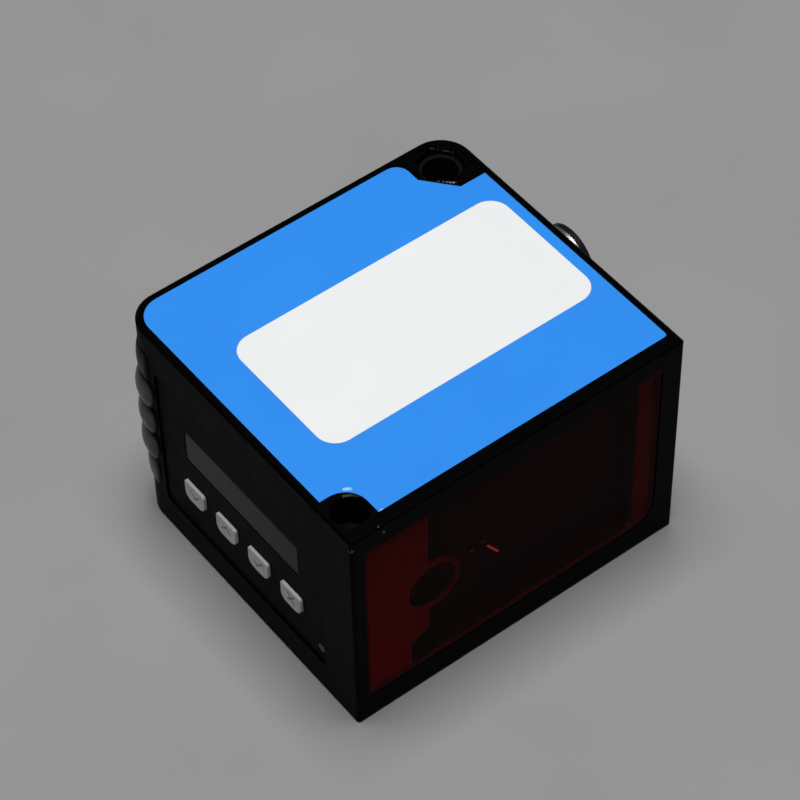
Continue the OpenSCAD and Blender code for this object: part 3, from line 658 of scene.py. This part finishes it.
@dataclass(frozen=True)
class Pane(Finish):
    """A clear or tinted pane: what is behind it shows, under a polished and faintly wiped face.

    Through is the colour that one face lets through, and cover is the share of the polished face.
    Wiped streaks and edges show more of it.
    """

    through: Colour = (0.7, 0.7, 0.7)
    cover: float = 0.3
    scuff: float = 0.05
    edge_cover: float = 0.25

    def shader(self, bench: Bench) -> Wire:
        """A Transparent shader mixed with a polished one."""
        soft, mask = bench.edge(self.edge_radius)
        face = bench.wire("ShaderNodeBsdfPrincipled", {}, {
            "Base Color": self.body(bench),
            "Roughness": self.polish(bench, mask),
            "Specular IOR Level": self.shine,
            "Normal": bench.bump(self.relief(bench), self.grain_depth, soft),
        })
        clear = bench.wire("ShaderNodeBsdfTransparent", {}, {0: (*self.through, 1.0)})
        wiped = bench.noise(1.2, 4.0, bench.place((0.12, 1.0, 1.0)), 4.0).clip(0.62, 0.8)
        share = self.cover + wiped * self.scuff + mask * self.edge_cover
        return bench.wire("ShaderNodeMixShader", {}, {0: share, 1: clear, 2: face})


@dataclass(frozen=True)
class Shaded(Pane):
    """A pane whose face turns to another colour from one place to another along an axis, as painted light
    and shade.
    """

    along: Axis = Axis.Z
    span: Pair = (5.0, 9.5)
    other: Colour = (0.06, 0.035, 0.035)

    def body(self, bench: Bench) -> Wire:
        """The face's colour, which starts as the other one; the change is painted light and shade."""
        return bench.blend(bench.along(self.along).clip(*self.span), self.other, super().body(bench))


@dataclass(frozen=True)
class PaintedGlint(Metal):
    """A polished edge with a painted glint: it glows faintly, standing in for the light it would throw
    back.
    """

    gleam: Colour = (0.6, 0.75, 0.9)
    strength: float = 0.7

    def extras(self, bench: Bench) -> dict[str, Value]:
        """The glow of its painted glint."""
        return {"Emission Color": (*self.gleam, 1.0), "Emission Strength": self.strength}


@dataclass(frozen=True)
class Lens(Pane):
    """Polished glass lens with a faint coating."""

    def relief(self, bench: Bench) -> Wire:
        """Very slow waves, since the face is polished."""
        return bench.noise(9.0, 0.0)


@dataclass(frozen=True)
class Floor(Finish):
    """Matt pale studio floor."""

    def relief(self, bench: Bench) -> Wire:
        """Paper grain."""
        return bench.noise(self.grain_size, 3.0)


class Finishes:
    """Every finish of the sensor by its material slot, made once when it is first asked for."""

    # The scuffs are partly real scuffs and partly painted highlights; the glints are painted highlights.
    corner_scuffs_and_highlights: tuple[Spot, ...] = (
        (-31.25, -28.85, 42.7, 0.8), (-31.0, -28.85, 42.4, 0.6), (-31.35, -28.4, 42.2, 0.4),
        (-31.15, -28.85, 42.15, 0.5),
    )
    frame_scuffs_and_highlights: tuple[Spot, ...] = (
        (-25.4, -28.85, 42.5, 0.8), (-26.1, -28.6, 44.0, 0.2), (-28.7, -25.7, 44.0, 0.12),
        (16.3, -28.8, 44.0, 0.2), (21.3, -28.8, 44.0, 0.3),
    )
    near_pocket_glints: tuple[Spot, ...] = (
        (-26.51, -20.82, 43.65, 0.3), (-26.2, -20.95, 43.65, 0.25), (-25.9, -21.12, 43.65, 0.3),
        (-25.58, -21.35, 43.65, 0.2), (-25.25, -21.65, 43.65, 0.15), (-24.98, -22.0, 43.65, 0.1),
    )
    far_pocket_glints: tuple[Spot, ...] = (
        (26.92, 27.17, 43.49, 1.0), (27.2, 26.9, 43.5, 0.8), (27.7, 26.4, 43.4, 0.4),
        (28.27, 25.8, 43.3, 0.6), (28.6, 25.5, 43.28, 1.0), (28.9, 25.2, 43.2, 0.8),
        (29.33, 24.76, 43.08, 0.7),
    )
    far_notch_glints: tuple[Spot, ...] = (
        (23.3, 20.6, 43.75, 0.3), (23.8, 20.0, 43.75, 0.3), (24.2, 19.6, 43.75, 0.6),
        (24.55, 19.2, 43.75, 0.8), (24.9, 18.8, 43.75, 0.9), (25.2, 18.5, 43.75, 0.5),
    )
    film_glints: tuple[Spot, ...] = (
        (-25.75, -20.0, 43.9, 0.8), (-25.4, -20.2, 43.9, 1.0), (-25.05, -20.45, 43.9, 0.6),
        (-23.85, -26.4, 43.9, 0.6),
    )
    recipes: dict[str, Finish] = {
        "black_casting": Ribbed((0.0008, 0.0008, 0.0012), 0.45, shine=0.017, grain_depth=0.008, edge_wear_and_sheen=0.5,
                                edge_wear_and_sheen_colour=(0.05, 0.05, 0.054), glint=0.15,
                                spots=(corner_scuffs_and_highlights + frame_scuffs_and_highlights + near_pocket_glints
                                       + far_pocket_glints + far_notch_glints)),
        "black_cover": Casting((0.0009, 0.0009, 0.0012), 0.5, shine=0.015, edge_wear_and_sheen=0.4),
        "gasket_rubber": Rubber((0.02, 0.02, 0.021), 0.8),
        "screw_steel": Turned((0.52, 0.51, 0.5), 0.3, lines=Axis.Z, grain_depth=0.003, edge_wear_and_sheen=0.3),
        # Painted highlights on the blue film: its pale edge colour and its spots.
        "blue_film": Film((0.029, 0.262, 0.84), 0.42, shine=0.12, tone=0.02, tone_size=18.0,
                          grain_depth=0.002, edge_radius=0.06, edge_wear_and_sheen=0.5, edge_wear_and_sheen_colour=(0.25, 0.5, 0.9),
                          spots=film_glints, spot_radius=0.3, spot_colour=(0.33, 0.62, 0.97)),
        "white_film": Film((0.82, 0.835, 0.84), 0.45, shine=0.15, tone=0.012, tone_size=14.0,
                           grain_depth=0.002, edge_radius=0.04),
        # Painted light: the pane's face is paler along its lower edge.
        "red_pane": Shaded((0.012, 0.001, 0.001), 0.08, shine=0.14, tone=0.1, grain_size=3.0,
                           grain_depth=0.001, rough_spread=0.03, edge_radius=0.08,
                           through=(0.67, 0.17, 0.165), cover=0.16),
        "pane_bead": Rubber((0.09, 0.015, 0.015), 0.6, dust_and_painted_light=(0.12, 0.04, 0.04)),
        "pale_plate": Plate((0.62, 0.58, 0.55), 0.55, grain_size=0.2),
        "spring_steel": Metal((0.03, 0.028, 0.028), 0.35, grain_depth=0.001, tarnish=(0.02, 0.015, 0.012)),
        # Painted glints on the spring clip: its lip glows and its dimples are pale.
        "clip_pale_glint": Metal((0.6, 0.5, 0.5), 0.4, metal=0.3, grain_depth=0.001),
        "clip_painted_glint": PaintedGlint((0.75, 0.73, 0.7), 0.2, grain_depth=0.001),
        "black_chassis": Moulding((0.007, 0.006, 0.006), 0.6, shine=0.2, grain_size=0.3, grain_depth=0.001),
        "clear_lens": Lens((0.02, 0.015, 0.03), 0.03, shine=0.8, grain_depth=0.0005, rough_spread=0.01,
                           through=(0.9, 0.92, 0.95), cover=0.2, scuff=0.01),
        "brass_barrel": Turned((0.05, 0.035, 0.025), 0.4, lines=Axis.Y, grain_depth=0.002,
                               tarnish=(0.02, 0.015, 0.01)),
        "can_gold": Turned((0.85, 0.66, 0.3), 0.22, lines=Axis.Y, grain_depth=0.002),
        "can_steel": Metal((0.62, 0.62, 0.63), 0.3, lines=Axis.Z, grain_depth=0.002),
        "board_green": Board((0.012, 0.095, 0.045), 0.3, grain_depth=0.03),
        "chip_black": Moulding((0.02, 0.02, 0.022), 0.5, grain_size=0.12),
        "panel_black": Moulding((0.0016, 0.0015, 0.0015), 0.45, shine=0.015, grain_size=0.18, edge_wear_and_sheen=0.1),
        # Painted shade: the display glass darkens towards its front end.
        "smoke_glass": Shaded((0.052, 0.052, 0.053), 0.2, shine=0.04, tone=0.02, tone_size=20.0,
                              grain_size=6.0, grain_depth=0.0003, through=(0.6, 0.6, 0.61), cover=0.92,
                              scuff=0.0, edge_radius=0.08, along=Axis.Y, span=(-14.0, 4.0),
                              other=(0.03, 0.03, 0.032)),
        "module_black": Moulding((0.06, 0.062, 0.062), 0.5, grain_size=0.4, grain_depth=0.001),
        "key_grey": Moulding((0.6, 0.59, 0.58), 0.42, grain_size=0.16, grain_depth=0.004, tone=0.04,
                             edge_wear_and_sheen=0.3, edge_wear_and_sheen_colour=(0.85, 0.84, 0.83)),
        "stem_white": Moulding((0.75, 0.74, 0.68), 0.4, grain_size=0.16),
        "light_blue": Lens((0.004, 0.006, 0.05), 0.12, shine=0.6, grain_depth=0.001,
                           through=(0.1, 0.14, 0.6), cover=0.7),
        "flex_amber": Flex((0.5, 0.22, 0.03), 0.25, grain_depth=0.02),
        "plug_nickel": Collared((0.55, 0.55, 0.54), 0.38, grain_depth=0.0006, tarnish=(0.36, 0.36, 0.35)),
        "insert_black": Moulding((0.006, 0.006, 0.007), 0.42, shine=0.15, grain_size=0.2,
                                 grain_depth=0.002),
        "pin_gold": Turned((0.9, 0.68, 0.28), 0.18, grain_depth=0.001),
        "seal_rubber": Rubber((0.015, 0.015, 0.016), 0.7),
        "key_print": Moulding((0.27, 0.27, 0.275), 0.5, grain_size=0.1, grain_depth=0.002),
        "studio_floor": Floor((0.3, 0.301, 0.3), 0.85, shine=0.2, tone=0.03, tone_size=40.0,
                              grain_size=1.2, grain_depth=0.02),
    }

    def __init__(self) -> None:
        """Starts with nothing made."""
        self.made: dict[str, bpy.types.Material] = {}

    def get(self, slot: str) -> bpy.types.Material:
        """The material of a slot."""
        if slot not in self.made:
            self.made[slot] = self.recipes[slot].make(slot)
        return self.made[slot]


# Mesh building


class Form:
    """A bmesh in millimetres that is shaped with operators and then becomes one piece."""

    def __init__(self) -> None:
        """Starts empty."""
        self.mesh = bmesh.new()
        self.paint = 0

    def block(self, low: Point, high: Point) -> None:
        """A box between two corners, in the present paint and to be shaped further."""
        size = [b - a for a, b in zip(low, high)]
        middle = [(a + b) / 2 for a, b in zip(low, high)]
        place = Matrix.Translation(middle) @ Matrix.Diagonal((*size, 1.0))
        corners = bmesh.ops.create_cube(self.mesh, size=1.0, matrix=place)["verts"]
        for face in {f for v in corners for f in v.link_faces}:
            face.material_index = self.paint

    def turn(self, profile: Sequence[Pair], axis: Point, steps: int) -> None:
        """Turns a closed profile round the X direction through a point.

        Args:
            profile: pairs of place along X and radius, in order round the section.
            axis: a point on the axis.
            steps: how many steps the full turn takes.
        """
        verts = [self.mesh.verts.new((x, axis[1], axis[2] + r)) for x, r in profile]
        edges = [self.mesh.edges.new(pair) for pair in zip(verts, verts[1:] + verts[:1])]
        bmesh.ops.spin(self.mesh, geom=verts + edges, cent=axis, axis=(1, 0, 0),
                       angle=2 * math.pi, steps=steps, use_merge=True)

    def wind(
        self, sections: Sequence[Sequence[Pair]], axis: Point, span: tuple[int, int], shift: int
    ) -> None:
        """Joins closed sections round the X direction, some of whose points wind like a thread.

        Args:
            sections: one list of pairs of place along X and radius for each angle of a full turn.
            axis: a point on the axis.
            span: the first point that winds and the one past the last.
            shift: how many points one full turn moves the winding part along.
        """
        rings: list[list[bmesh.types.BMVert]] = []
        for index, section in enumerate(sections):
            angle = 2 * math.pi * index / len(sections)
            sine, cosine = math.sin(angle), math.cos(angle)
            rings.append([self.mesh.verts.new((x, axis[1] - r * sine, axis[2] + r * cosine))
                          for x, r in section])
        for ring, after in zip(rings, rings[1:] + rings[:1]):
            # The last section joins the first one, whose winding points lie a full turn further back.
            moved = shift if after is rings[0] else 0
            for k in range(len(ring)):
                here = [k, (k + 1) % len(ring)]
                there = [min(p + moved, span[1] - 1) if span[0] <= p < span[1] else p for p in here]
                corners = [ring[here[0]], ring[here[1]], after[there[1]], after[there[0]]]
                # Where the winding ends its points crowd, and leave a triangle or no face at all.
                if len({tuple(v.co) for v in corners}) > 2 and len(set(corners)) == 4:
                    self.mesh.faces.new(corners)
                elif len(set(corners)) == 3:
                    self.mesh.faces.new(list(dict.fromkeys(corners)))

    def edges(self, test: Callable[[Vector, Vector], bool]) -> list[bmesh.types.BMEdge]:
        """Edges whose two ends pass a test."""
        return [e for e in self.mesh.edges if test(e.verts[0].co, e.verts[1].co)]

    def round(self, edges: Iterable[bmesh.types.BMEdge], radius: float, segments: int) -> None:
        """Rounds edges."""
        bmesh.ops.bevel(self.mesh, geom=list(edges), offset=radius, segments=segments, profile=0.5,
                        affect="EDGES", material=-1, clamp_overlap=True)

    def merge(self, other: "Form") -> None:
        """Takes in the faces of another form."""
        spare = bpy.data.meshes.new("spare")
        other.mesh.to_mesh(spare)
        other.mesh.free()
        self.mesh.from_mesh(spare)
        bpy.data.meshes.remove(spare)

    def piece(
        self, name: str, materials: Sequence[bpy.types.Material], smooth: float = 32.0
    ) -> bpy.types.Object:
        """Finishes the form as an object in metres.

        Args:
            name: the piece's name.
            materials: its materials in the order of the faces' paint.
            smooth: the angle in degrees under which faces meet softly.

        Returns:
            The object.
        """
        bmesh.ops.remove_doubles(self.mesh, verts=self.mesh.verts, dist=NEAR)
        bmesh.ops.recalc_face_normals(self.mesh, faces=self.mesh.faces)
        bmesh.ops.scale(self.mesh, vec=(MM, MM, MM), verts=self.mesh.verts)
        for face in self.mesh.faces:
            face.smooth = True
        data = bpy.data.meshes.new(name)
        self.mesh.to_mesh(data)
        self.mesh.free()
        data.set_sharp_from_angle(angle=math.radians(smooth))
        for material in materials:
            data.materials.append(material)
        made = bpy.data.objects.new(name, data)
        bpy.context.scene.collection.objects.link(made)
        return made


# Sub-assemblies


@dataclass
class SubAssembly:
    """Some of the sensor's nodes with their finishes, and the pieces built for them."""

    finishes: Finishes
    nodes: dict[str, str] = field(default_factory=dict)

    def build(self) -> None:
        """Dresses the nodes, then builds the further pieces."""
        for node, slot in self.nodes.items():
            self.dress(node, slot)
        self.shape()

    def dress(self, node: str, slot: str) -> None:
        """Gives a node the finish of its slot."""
        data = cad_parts[node].data
        data.materials.clear()
        data.materials.append(self.finishes.get(slot))
        for face in data.polygons:
            face.material_index = 0
        LOG.info("%s: finish %s", node, slot)

    def shape(self) -> None:
        """Builds the further pieces, where there are any."""

    def keep(self, piece: bpy.types.Object, body: str, slot: str, *replaced: str) -> None:
        """Hands a finished piece to the frame.

        Args:
            piece: the object.
            body: the CAD body that it moves with.
            slot: its material slot in the record; not used.
            replaced: the CAD nodes that it stands for.
        """
        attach(piece, body)
        if replaced:
            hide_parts(*replaced)
        LOG.info("%s: %d faces, rides on %s", piece.name, len(piece.data.polygons), body)


@dataclass
class Box(SubAssembly):
    """The cast housing and the lid under the film."""

    nodes: dict[str, str] = field(default_factory=lambda: {
        "housing": "black_casting",
        "side_cover": "black_cover",
        "cover_gasket": "gasket_rubber",
        "cover_screws": "screw_steel",
        "side_label": "blue_film",
        "white_label": "white_film",
    })
    field_low: Pair = (-23.0, -13.1)
    field_high: Pair = (28.1, 12.7)
    field_corner: float = 3.5

    def shape(self) -> None:
        """Builds the white field on the film."""
        low, high = (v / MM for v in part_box("white_label"))
        form = Form()
        form.block((*self.field_low, low.z), (*self.field_high, high.z))
        form.round(form.edges(lambda a, b: abs(a.z - b.z) > NEAR), self.field_corner, 12)
        made = form.piece("white_field", [self.finishes.get("white_film")])
        self.keep(made, "device", "white_film", "white_label")


@dataclass
class Optics(SubAssembly):
    """The red window and all that looks through it.

    The lip lies on the tongue of the spring clip, behind the clip's face, and runs from one end to
    the other in X and Z. The two dimples are on the clip's face.
    """

    nodes: dict[str, str] = field(default_factory=lambda: {
        "window": "red_pane",
        "window_seal": "pane_bead",
        "aperture_plate": "pale_plate",
        "lens_clip": "spring_steel",
        "optics_block": "black_chassis",
        "receiver_lens": "clear_lens",
        "emitter_lens": "clear_lens",
        "laser_barrel": "brass_barrel",
        "laser_diode": "can_gold",
        "detector": "can_gold",
        "receiver_board": "board_green",
        "shield_can": "can_steel",
        "optics_screws": "screw_steel",
    })
    lip_half: float = 0.2
    lip_proud: float = 0.1
    tongue_back: float = 0.4
    lip_ends: tuple[Pair, Pair] = ((-3.54, 18.5), (-1.6, 15.65))
    dimples: tuple[tuple[Pair, Pair], ...] = (
        ((-7.3, 20.3), (-6.7, 20.5)),
        ((-5.0, 21.0), (-4.8, 20.8)),
    )

    def shape(self) -> None:
        """Builds the polished lip and the dimples of the spring clip; the lip glows and the dimples are
        pale, as painted glints seen through the window.
        """
        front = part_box("lens_clip")[0].y / MM
        form = self.lip(front + self.tongue_back, *self.lip_ends)
        for ends in self.dimples:
            form.merge(self.lip(front, *ends, paint=1))
        materials = [self.finishes.get("clip_painted_glint"), self.finishes.get("clip_pale_glint")]
        self.keep(form.piece("clip_lip", materials), "device", "spring_steel")

    def lip(self, face: float, start: Pair, end: Pair, paint: int = 0) -> Form:
        """A slim bead pressed out of the clip.

        Args:
            face: Y of the clip's face.
            start: X and Z of one end.
            end: X and Z of the other end.
            paint: which of the piece's materials it has.

        Returns:
            The bead.
        """
        form = Form()
        form.paint = paint
        run, rise = end[0] - start[0], end[1] - start[1]
        half = self.lip_half
        long = math.hypot(run, rise) / 2 + half
        form.block((-long, -self.lip_proud, -half), (long, self.lip_proud, half))
        form.round(form.edges(lambda a, b: abs(a.y - b.y) > NEAR), half * 0.9, 4)
        form.round(form.edges(lambda a, b: a.y < 0 and b.y < 0), self.lip_proud * 0.6, 2)
        place = Matrix.Translation(((start[0] + end[0]) / 2, face, (start[1] + end[1]) / 2))
        tilt = Matrix.Rotation(-math.atan2(rise, run), 4, "Y")
        bmesh.ops.transform(form.mesh, matrix=place @ tilt, verts=form.mesh.verts)
        return form


@dataclass
class Electronics(SubAssembly):
    """The processor board and the flat circuits."""

    nodes: dict[str, str] = field(default_factory=lambda: {
        "main_board": "board_green",
        "board_parts": "chip_black",
        "board_screws": "screw_steel",
        "display_flex": "flex_amber",
        "power_flex": "flex_amber",
    })


@dataclass
class ControlPanel(SubAssembly):
    """The panel on the end face, with its display and four keys.

    A key's cap stands on a skirt, which is wider by the flange all round and ends at its back. A
    plunger behind the skirt reaches the switch, and the mark is what the sign's strokes measure.
    """

    nodes: dict[str, str] = field(default_factory=lambda: {
        "control_panel": "panel_black",
        "display_window": "smoke_glass",
        "display_module": "module_black",
        "display_board": "board_green",
        "display_screws": "screw_steel",
        "tact_switches": "chip_black",
        **{f"key_{mark.value}": "key_grey" for mark in Mark},
        **{f"stem_{mark.value}": "stem_white" for mark in Mark},
        "status_light": "light_blue",
    })
    mark_half: float = 1.1
    mark_width: float = 0.4
    mark_proud: float = 0.03
    mark_deep: float = 0.2
    mark_edge: float = 0.02
    cap_corners: Pair = (1.5, 0.5)
    skirt_corners: Pair = (2.3, 1.3)
    rim_round: float = 0.16
    skirt_rim: float = 0.1
    dish: float = 0.1
    dish_steps: Pair = (0.35, 0.5)
    flange: float = 0.8
    flange_back: float = -28.6
    plunger: float = 1.1
    plunger_root: float = 0.2
    plunger_lead: float = 0.15

    def shape(self) -> None:
        """Builds the four caps."""
        for mark in Mark:
            self.cap(mark)

    def cap(self, mark: Mark) -> None:
        """Builds one cap over its CAD key.

        Args:
            mark: the sign on the key, which also names its nodes and body.
        """
        low, high = (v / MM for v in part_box(f"key_{mark.value}"))
        middle_y, flange, back = (low.y + high.y) / 2, self.flange, self.flange_back
        y0, y1, z0, z1 = low.y + flange, high.y - flange, low.z + flange, high.z - flange
        form = self.prism((low.x, y0, z0), (back - flange, y1, z1), self.cap_corners, self.rim_round)
        self.hollow(form)
        form.merge(self.prism((back - flange, low.y, low.z), (back, high.y, high.z),
                              self.skirt_corners, self.skirt_rim))
        plunger = Form()
        axis = (0.0, middle_y, (z0 + z1) / 2)
        root, radius, lead = back - self.plunger_root, self.plunger, self.plunger_lead
        plunger.turn([(root, 0.0), (root, radius), (high.x - lead, radius), (high.x, radius - lead),
                      (high.x, 0.0)], axis, 32)
        form.merge(plunger)
        for start, end in self.strokes(mark):
            form.merge(self.stroke(low.x + self.dish, axis, start, end))
        materials = [self.finishes.get("key_grey"), self.finishes.get("key_print")]
        made = form.piece(f"cap_{mark.value}", materials)
        self.keep(made, f"{mark.value}_key", "key_grey", f"key_{mark.value}")

    def prism(self, low: Point, high: Point, corners: Pair, rim: float) -> Form:
        """A key-shaped block: a box with its corners rounded along X and a soft front rim.

        Args:
            low: the lowest corner; its X is the front.
            high: the highest corner.
            corners: radius of the two lower corners and of the two upper ones.
            rim: radius of the front rim.

        Returns:
            The block.
        """
        form = Form()
        form.block(low, high)
        for level, radius, segments in ((low[2], corners[0], 10), (high[2], corners[1], 6)):
            form.round(form.edges(lambda a, b: abs(a.x - b.x) > NEAR and abs(a.z - level) < NEAR),
                       radius, segments)
        form.round(form.edges(lambda a, b: max(abs(a.x - low[0]), abs(b.x - low[0])) < NEAR), rim, 4)
        return form

    def hollow(self, form: Form) -> None:
        """Dishes a block's front, which is its largest face towards -X."""
        front = max((f for f in form.mesh.faces if f.normal.x < -0.99), key=lambda f: f.calc_area())
        for step in self.dish_steps:
            bmesh.ops.inset_region(form.mesh, faces=[front], thickness=step, depth=-self.dish / 2)

    def strokes(self, mark: Mark) -> list[tuple[Pair, Pair]]:
        """The strokes of a sign as seen by someone who faces the panel, across and up.

        Args:
            mark: the sign.

        Returns:
            The two ends of each stroke, in millimetres from the key's middle.
        """
        h = self.mark_half
        signs = {
            Mark.DOWN: [((-h, h * 0.4), (0, -h * 0.5)), ((0, -h * 0.5), (h, h * 0.4))],
            Mark.UP: [((-h, -h * 0.4), (0, h * 0.5)), ((0, h * 0.5), (h, -h * 0.4))],
            Mark.ACCEPT: [((-h, 0), (-h * 0.3, -h * 0.6)), ((-h * 0.3, -h * 0.6), (h, h * 0.7))],
            Mark.CANCEL: [((-h * 0.7, -h * 0.7), (h * 0.7, h * 0.7)),
                          ((-h * 0.7, h * 0.7), (h * 0.7, -h * 0.7))],
        }
        return signs[mark]

    def stroke(self, front: float, axis: Point, start: Pair, end: Pair) -> Form:
        """One printed stroke with round ends, standing a little proud of the cap.

        Args:
            front: X of the cap's face.
            axis: the key's middle.
            start: the first end, across and up.
            end: the second end.

        Returns:
            The stroke.
        """
        form = Form()
        form.paint = 1
        run, rise = end[0] - start[0], end[1] - start[1]
        half, deep = self.mark_width / 2, self.mark_deep
        long = math.hypot(run, rise) / 2 + half
        form.block((-deep, -long, -half), (deep, long, half))
        form.round(form.edges(lambda a, b: abs(a.x - b.x) > NEAR), half * 0.95, 4)
        form.round(form.edges(lambda a, b: a.x < 0 and b.x < 0), self.mark_edge, 1)
        # The panel is seen from -X, so across runs along -Y.
        middle = (axis[1] - (start[0] + end[0]) / 2, axis[2] + (start[1] + end[1]) / 2)
        place = Matrix.Translation((front - self.mark_proud + deep, *middle))
        tilt = Matrix.Rotation(-math.atan2(rise, run), 4, "X")
        bmesh.ops.transform(form.mesh, matrix=place @ tilt, verts=form.mesh.verts)
        return form


@dataclass
class Connector(SubAssembly):
    """The round plug connector on the far end.

    Its two ends and its axis come from the frame. Wall, flange front and thread start are places
    along X too, and the bore, the sleeve and the flange are radii. Groove holds the inner and outer
    radius of the seal's groove and its floor. Crest is the thread's profile over one pitch, and fade
    is how many pitches it takes to run in and to run out.
    """

    nodes: dict[str, str] = field(default_factory=lambda: {
        "connector_shell": "plug_nickel",
        "connector_insert": "insert_black",
        "connector_pins": "pin_gold",
        "connector_seal": "seal_rubber",
        "connector_nut": "plug_nickel",
    })
    axis: Point = field(init=False)
    back: float = field(init=False)
    front: float = field(init=False)
    wall: float = 31.35
    bore: float = 4.75
    sleeve: float = 6.0
    flange: float = 8.0
    flange_front: float = 33.35
    groove: tuple[float, float, float] = (6.7, 7.8, 32.4)
    lead: float = 0.2
    thread_start: float = 33.7
    pitch: float = 1.0
    depth: float = 0.5
    crest: tuple[float, ...] = (0.0, 0.5, 1.0, 1.0, 0.5, 0.0)
    fade: Pair = (0.7, 0.3)
    steps: int = 96

    def __post_init__(self) -> None:
        """Reads the shell's ends and its axis, which the nut shares, from the frame."""
        self.back, self.front = (end.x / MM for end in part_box("connector_shell"))
        low, high = (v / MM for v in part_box("connector_nut"))
        self.axis = (0.0, (low.y + high.y) / 2, (low.z + high.z) / 2)

    def shape(self) -> None:
        """Builds the sleeve with its thread."""
        sections = [self.section(step / self.steps) for step in range(self.steps)]
        foot = len(self.foot())
        form = Form()
        form.wind(sections, self.axis, (foot, foot + self.thread_points()), len(self.crest))
        made = form.piece("threaded_sleeve", [self.finishes.get("plug_nickel")])
        self.keep(made, "device", "plug_nickel", "connector_shell")

    def thread_end(self) -> float:
        """Where the thread runs out before the lead-in chamfer."""
        return self.front - self.lead

    def thread_points(self) -> int:
        """How many points of a section belong to the thread."""
        turns = math.ceil((self.thread_end() - self.thread_start) / self.pitch)
        return len(self.crest) * (turns + 1) + 1

    def foot(self) -> list[Pair]:
        """The part of the section from the flange's rim to the start of the thread."""
        lead, core = self.lead, self.sleeve - self.depth
        return [(self.flange_front - lead, self.flange), (self.flange_front, self.flange - lead),
                (self.flange_front, self.sleeve + lead), (self.flange_front + lead, core),
                (self.thread_start - lead / 2, core)]

    def rest(self) -> list[Pair]:
        """The part of the section past the thread: the mouth, the bore and the flange's back."""
        inner, outer, floor = self.groove
        lead = self.lead
        return [(self.front, self.sleeve - lead), (self.front, self.bore + lead),
                (self.front - lead, self.bore), (self.back, self.bore), (self.back, self.sleeve - lead),
                (self.back + lead, self.sleeve), (self.wall, self.sleeve), (self.wall, inner),
                (floor, inner), (floor, outer), (self.wall, outer),
                (self.wall, self.flange - lead / 2), (self.wall + lead / 2, self.flange)]

    def section(self, turn: float) -> list[Pair]:
        """The sleeve's closed section at one angle, with the thread moved along as it winds.

        Args:
            turn: the angle as a share of the full turn.

        Returns:
            Pairs of place along X and radius.
        """
        thread = [self.thread(k, turn) for k in range(self.thread_points())]
        return self.foot() + thread + self.rest()

    def thread(self, k: int, turn: float) -> Pair:
        """One point of the thread's flank, which fades in and out at the two ends."""
        count = len(self.crest)
        x = self.thread_start + self.pitch * (k / count - 1 + turn)
        x = min(max(x, self.thread_start), self.thread_end())
        run_in = min(1.0, (x - self.thread_start) / (self.fade[0] * self.pitch))
        run_out = min(1.0, (self.thread_end() - x) / (self.fade[1] * self.pitch))
        height = self.crest[k % count] * run_in * run_out
        return x, self.sleeve - self.depth * (1 - height)


# Studio


@dataclass
class Studio:
    """Camera, lamp, floor and surroundings.

    The camera's place, the lens and the floor are in millimetres, its turn is in degrees, and the
    lamp's size and place are in metres. Dusk is the height at which the horizon's grey begins to
    turn and has turned into the zenith's.
    """

    finishes: Finishes
    camera_place: Point = (-186.598, -251.269, 391.039)
    camera_turn: Point = (40.65462, 0.97172, -37.64444)
    lens: float = 139.92
    sensor: float = 36.0
    floor_half: float = 2500.0
    lamp_size: float = 0.7
    lamp_place: Point = (-0.02, 0.0, 1.5)
    lamp_power: float = 22.5
    zenith: float = 0.04
    horizon: float = 0.09
    dusk: Pair = (0.05, 0.6)

    def build(self) -> None:
        """Builds the studio."""
        self.camera()
        self.lamp()
        self.floor()
        self.surroundings()
        bpy.context.scene.view_settings.view_transform = "Standard"
        LOG.info("studio: camera, lamp, floor and surroundings")

    def camera(self) -> None:
        """Puts the camera where the photograph was taken from."""
        data = bpy.data.cameras.new("camera")
        data.lens, data.sensor_width = self.lens, self.sensor
        data.dof.use_dof = False
        made = bpy.data.objects.new("camera", data)
        made.location = [c * MM for c in self.camera_place]
        made.rotation_euler = Euler([math.radians(a) for a in self.camera_turn], "XYZ")
        bpy.context.scene.collection.objects.link(made)
        bpy.context.scene.camera = made

    def lamp(self) -> None:
        """Hangs one large soft lamp over the sensor."""
        data = bpy.data.lights.new("lamp", "AREA")
        data.shape, data.size, data.energy = "SQUARE", self.lamp_size, self.lamp_power
        made = bpy.data.objects.new("lamp", data)
        made.location = self.lamp_place
        made.rotation_euler = (-Vector(self.lamp_place)).to_track_quat("-Z", "Y").to_euler()
        bpy.context.scene.collection.objects.link(made)

    def floor(self) -> None:
        """Lays the floor."""
        form = Form()
        bmesh.ops.create_grid(form.mesh, x_segments=4, y_segments=4, size=self.floor_half)
        made = form.piece("floor", [self.finishes.get("studio_floor")])

    def surroundings(self) -> None:
        """Pale at the horizon and dim overhead, so that the lamp gives the light."""
        world = bpy.data.worlds.new("surroundings")
        bpy.context.scene.world = world
        world.use_nodes = True
        bench = Bench(world.node_tree)
        way = bench.wire("ShaderNodeTexCoord", {}, {}, "Generated")
        up = bench.wire("ShaderNodeSeparateXYZ", {}, {0: way}, 2)
        grey = bench.blend(up.clip(*self.dusk), (self.horizon,) * 3, (self.zenith,) * 3)
        sky = bench.wire("ShaderNodeBackground", {}, {"Color": grey, "Strength": 1.0})
        bench.node("ShaderNodeOutputWorld", {}, {"Surface": sky})


def main() -> None:
    """Builds the studio and every sub-assembly."""
    logging.basicConfig(level=logging.INFO, format="%(message)s")
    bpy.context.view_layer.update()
    finishes = Finishes()
    Studio(finishes).build()
    for kind in (Box, Optics, Electronics, ControlPanel, Connector):
        kind(finishes).build()


if __name__ == "__main__":
    main()
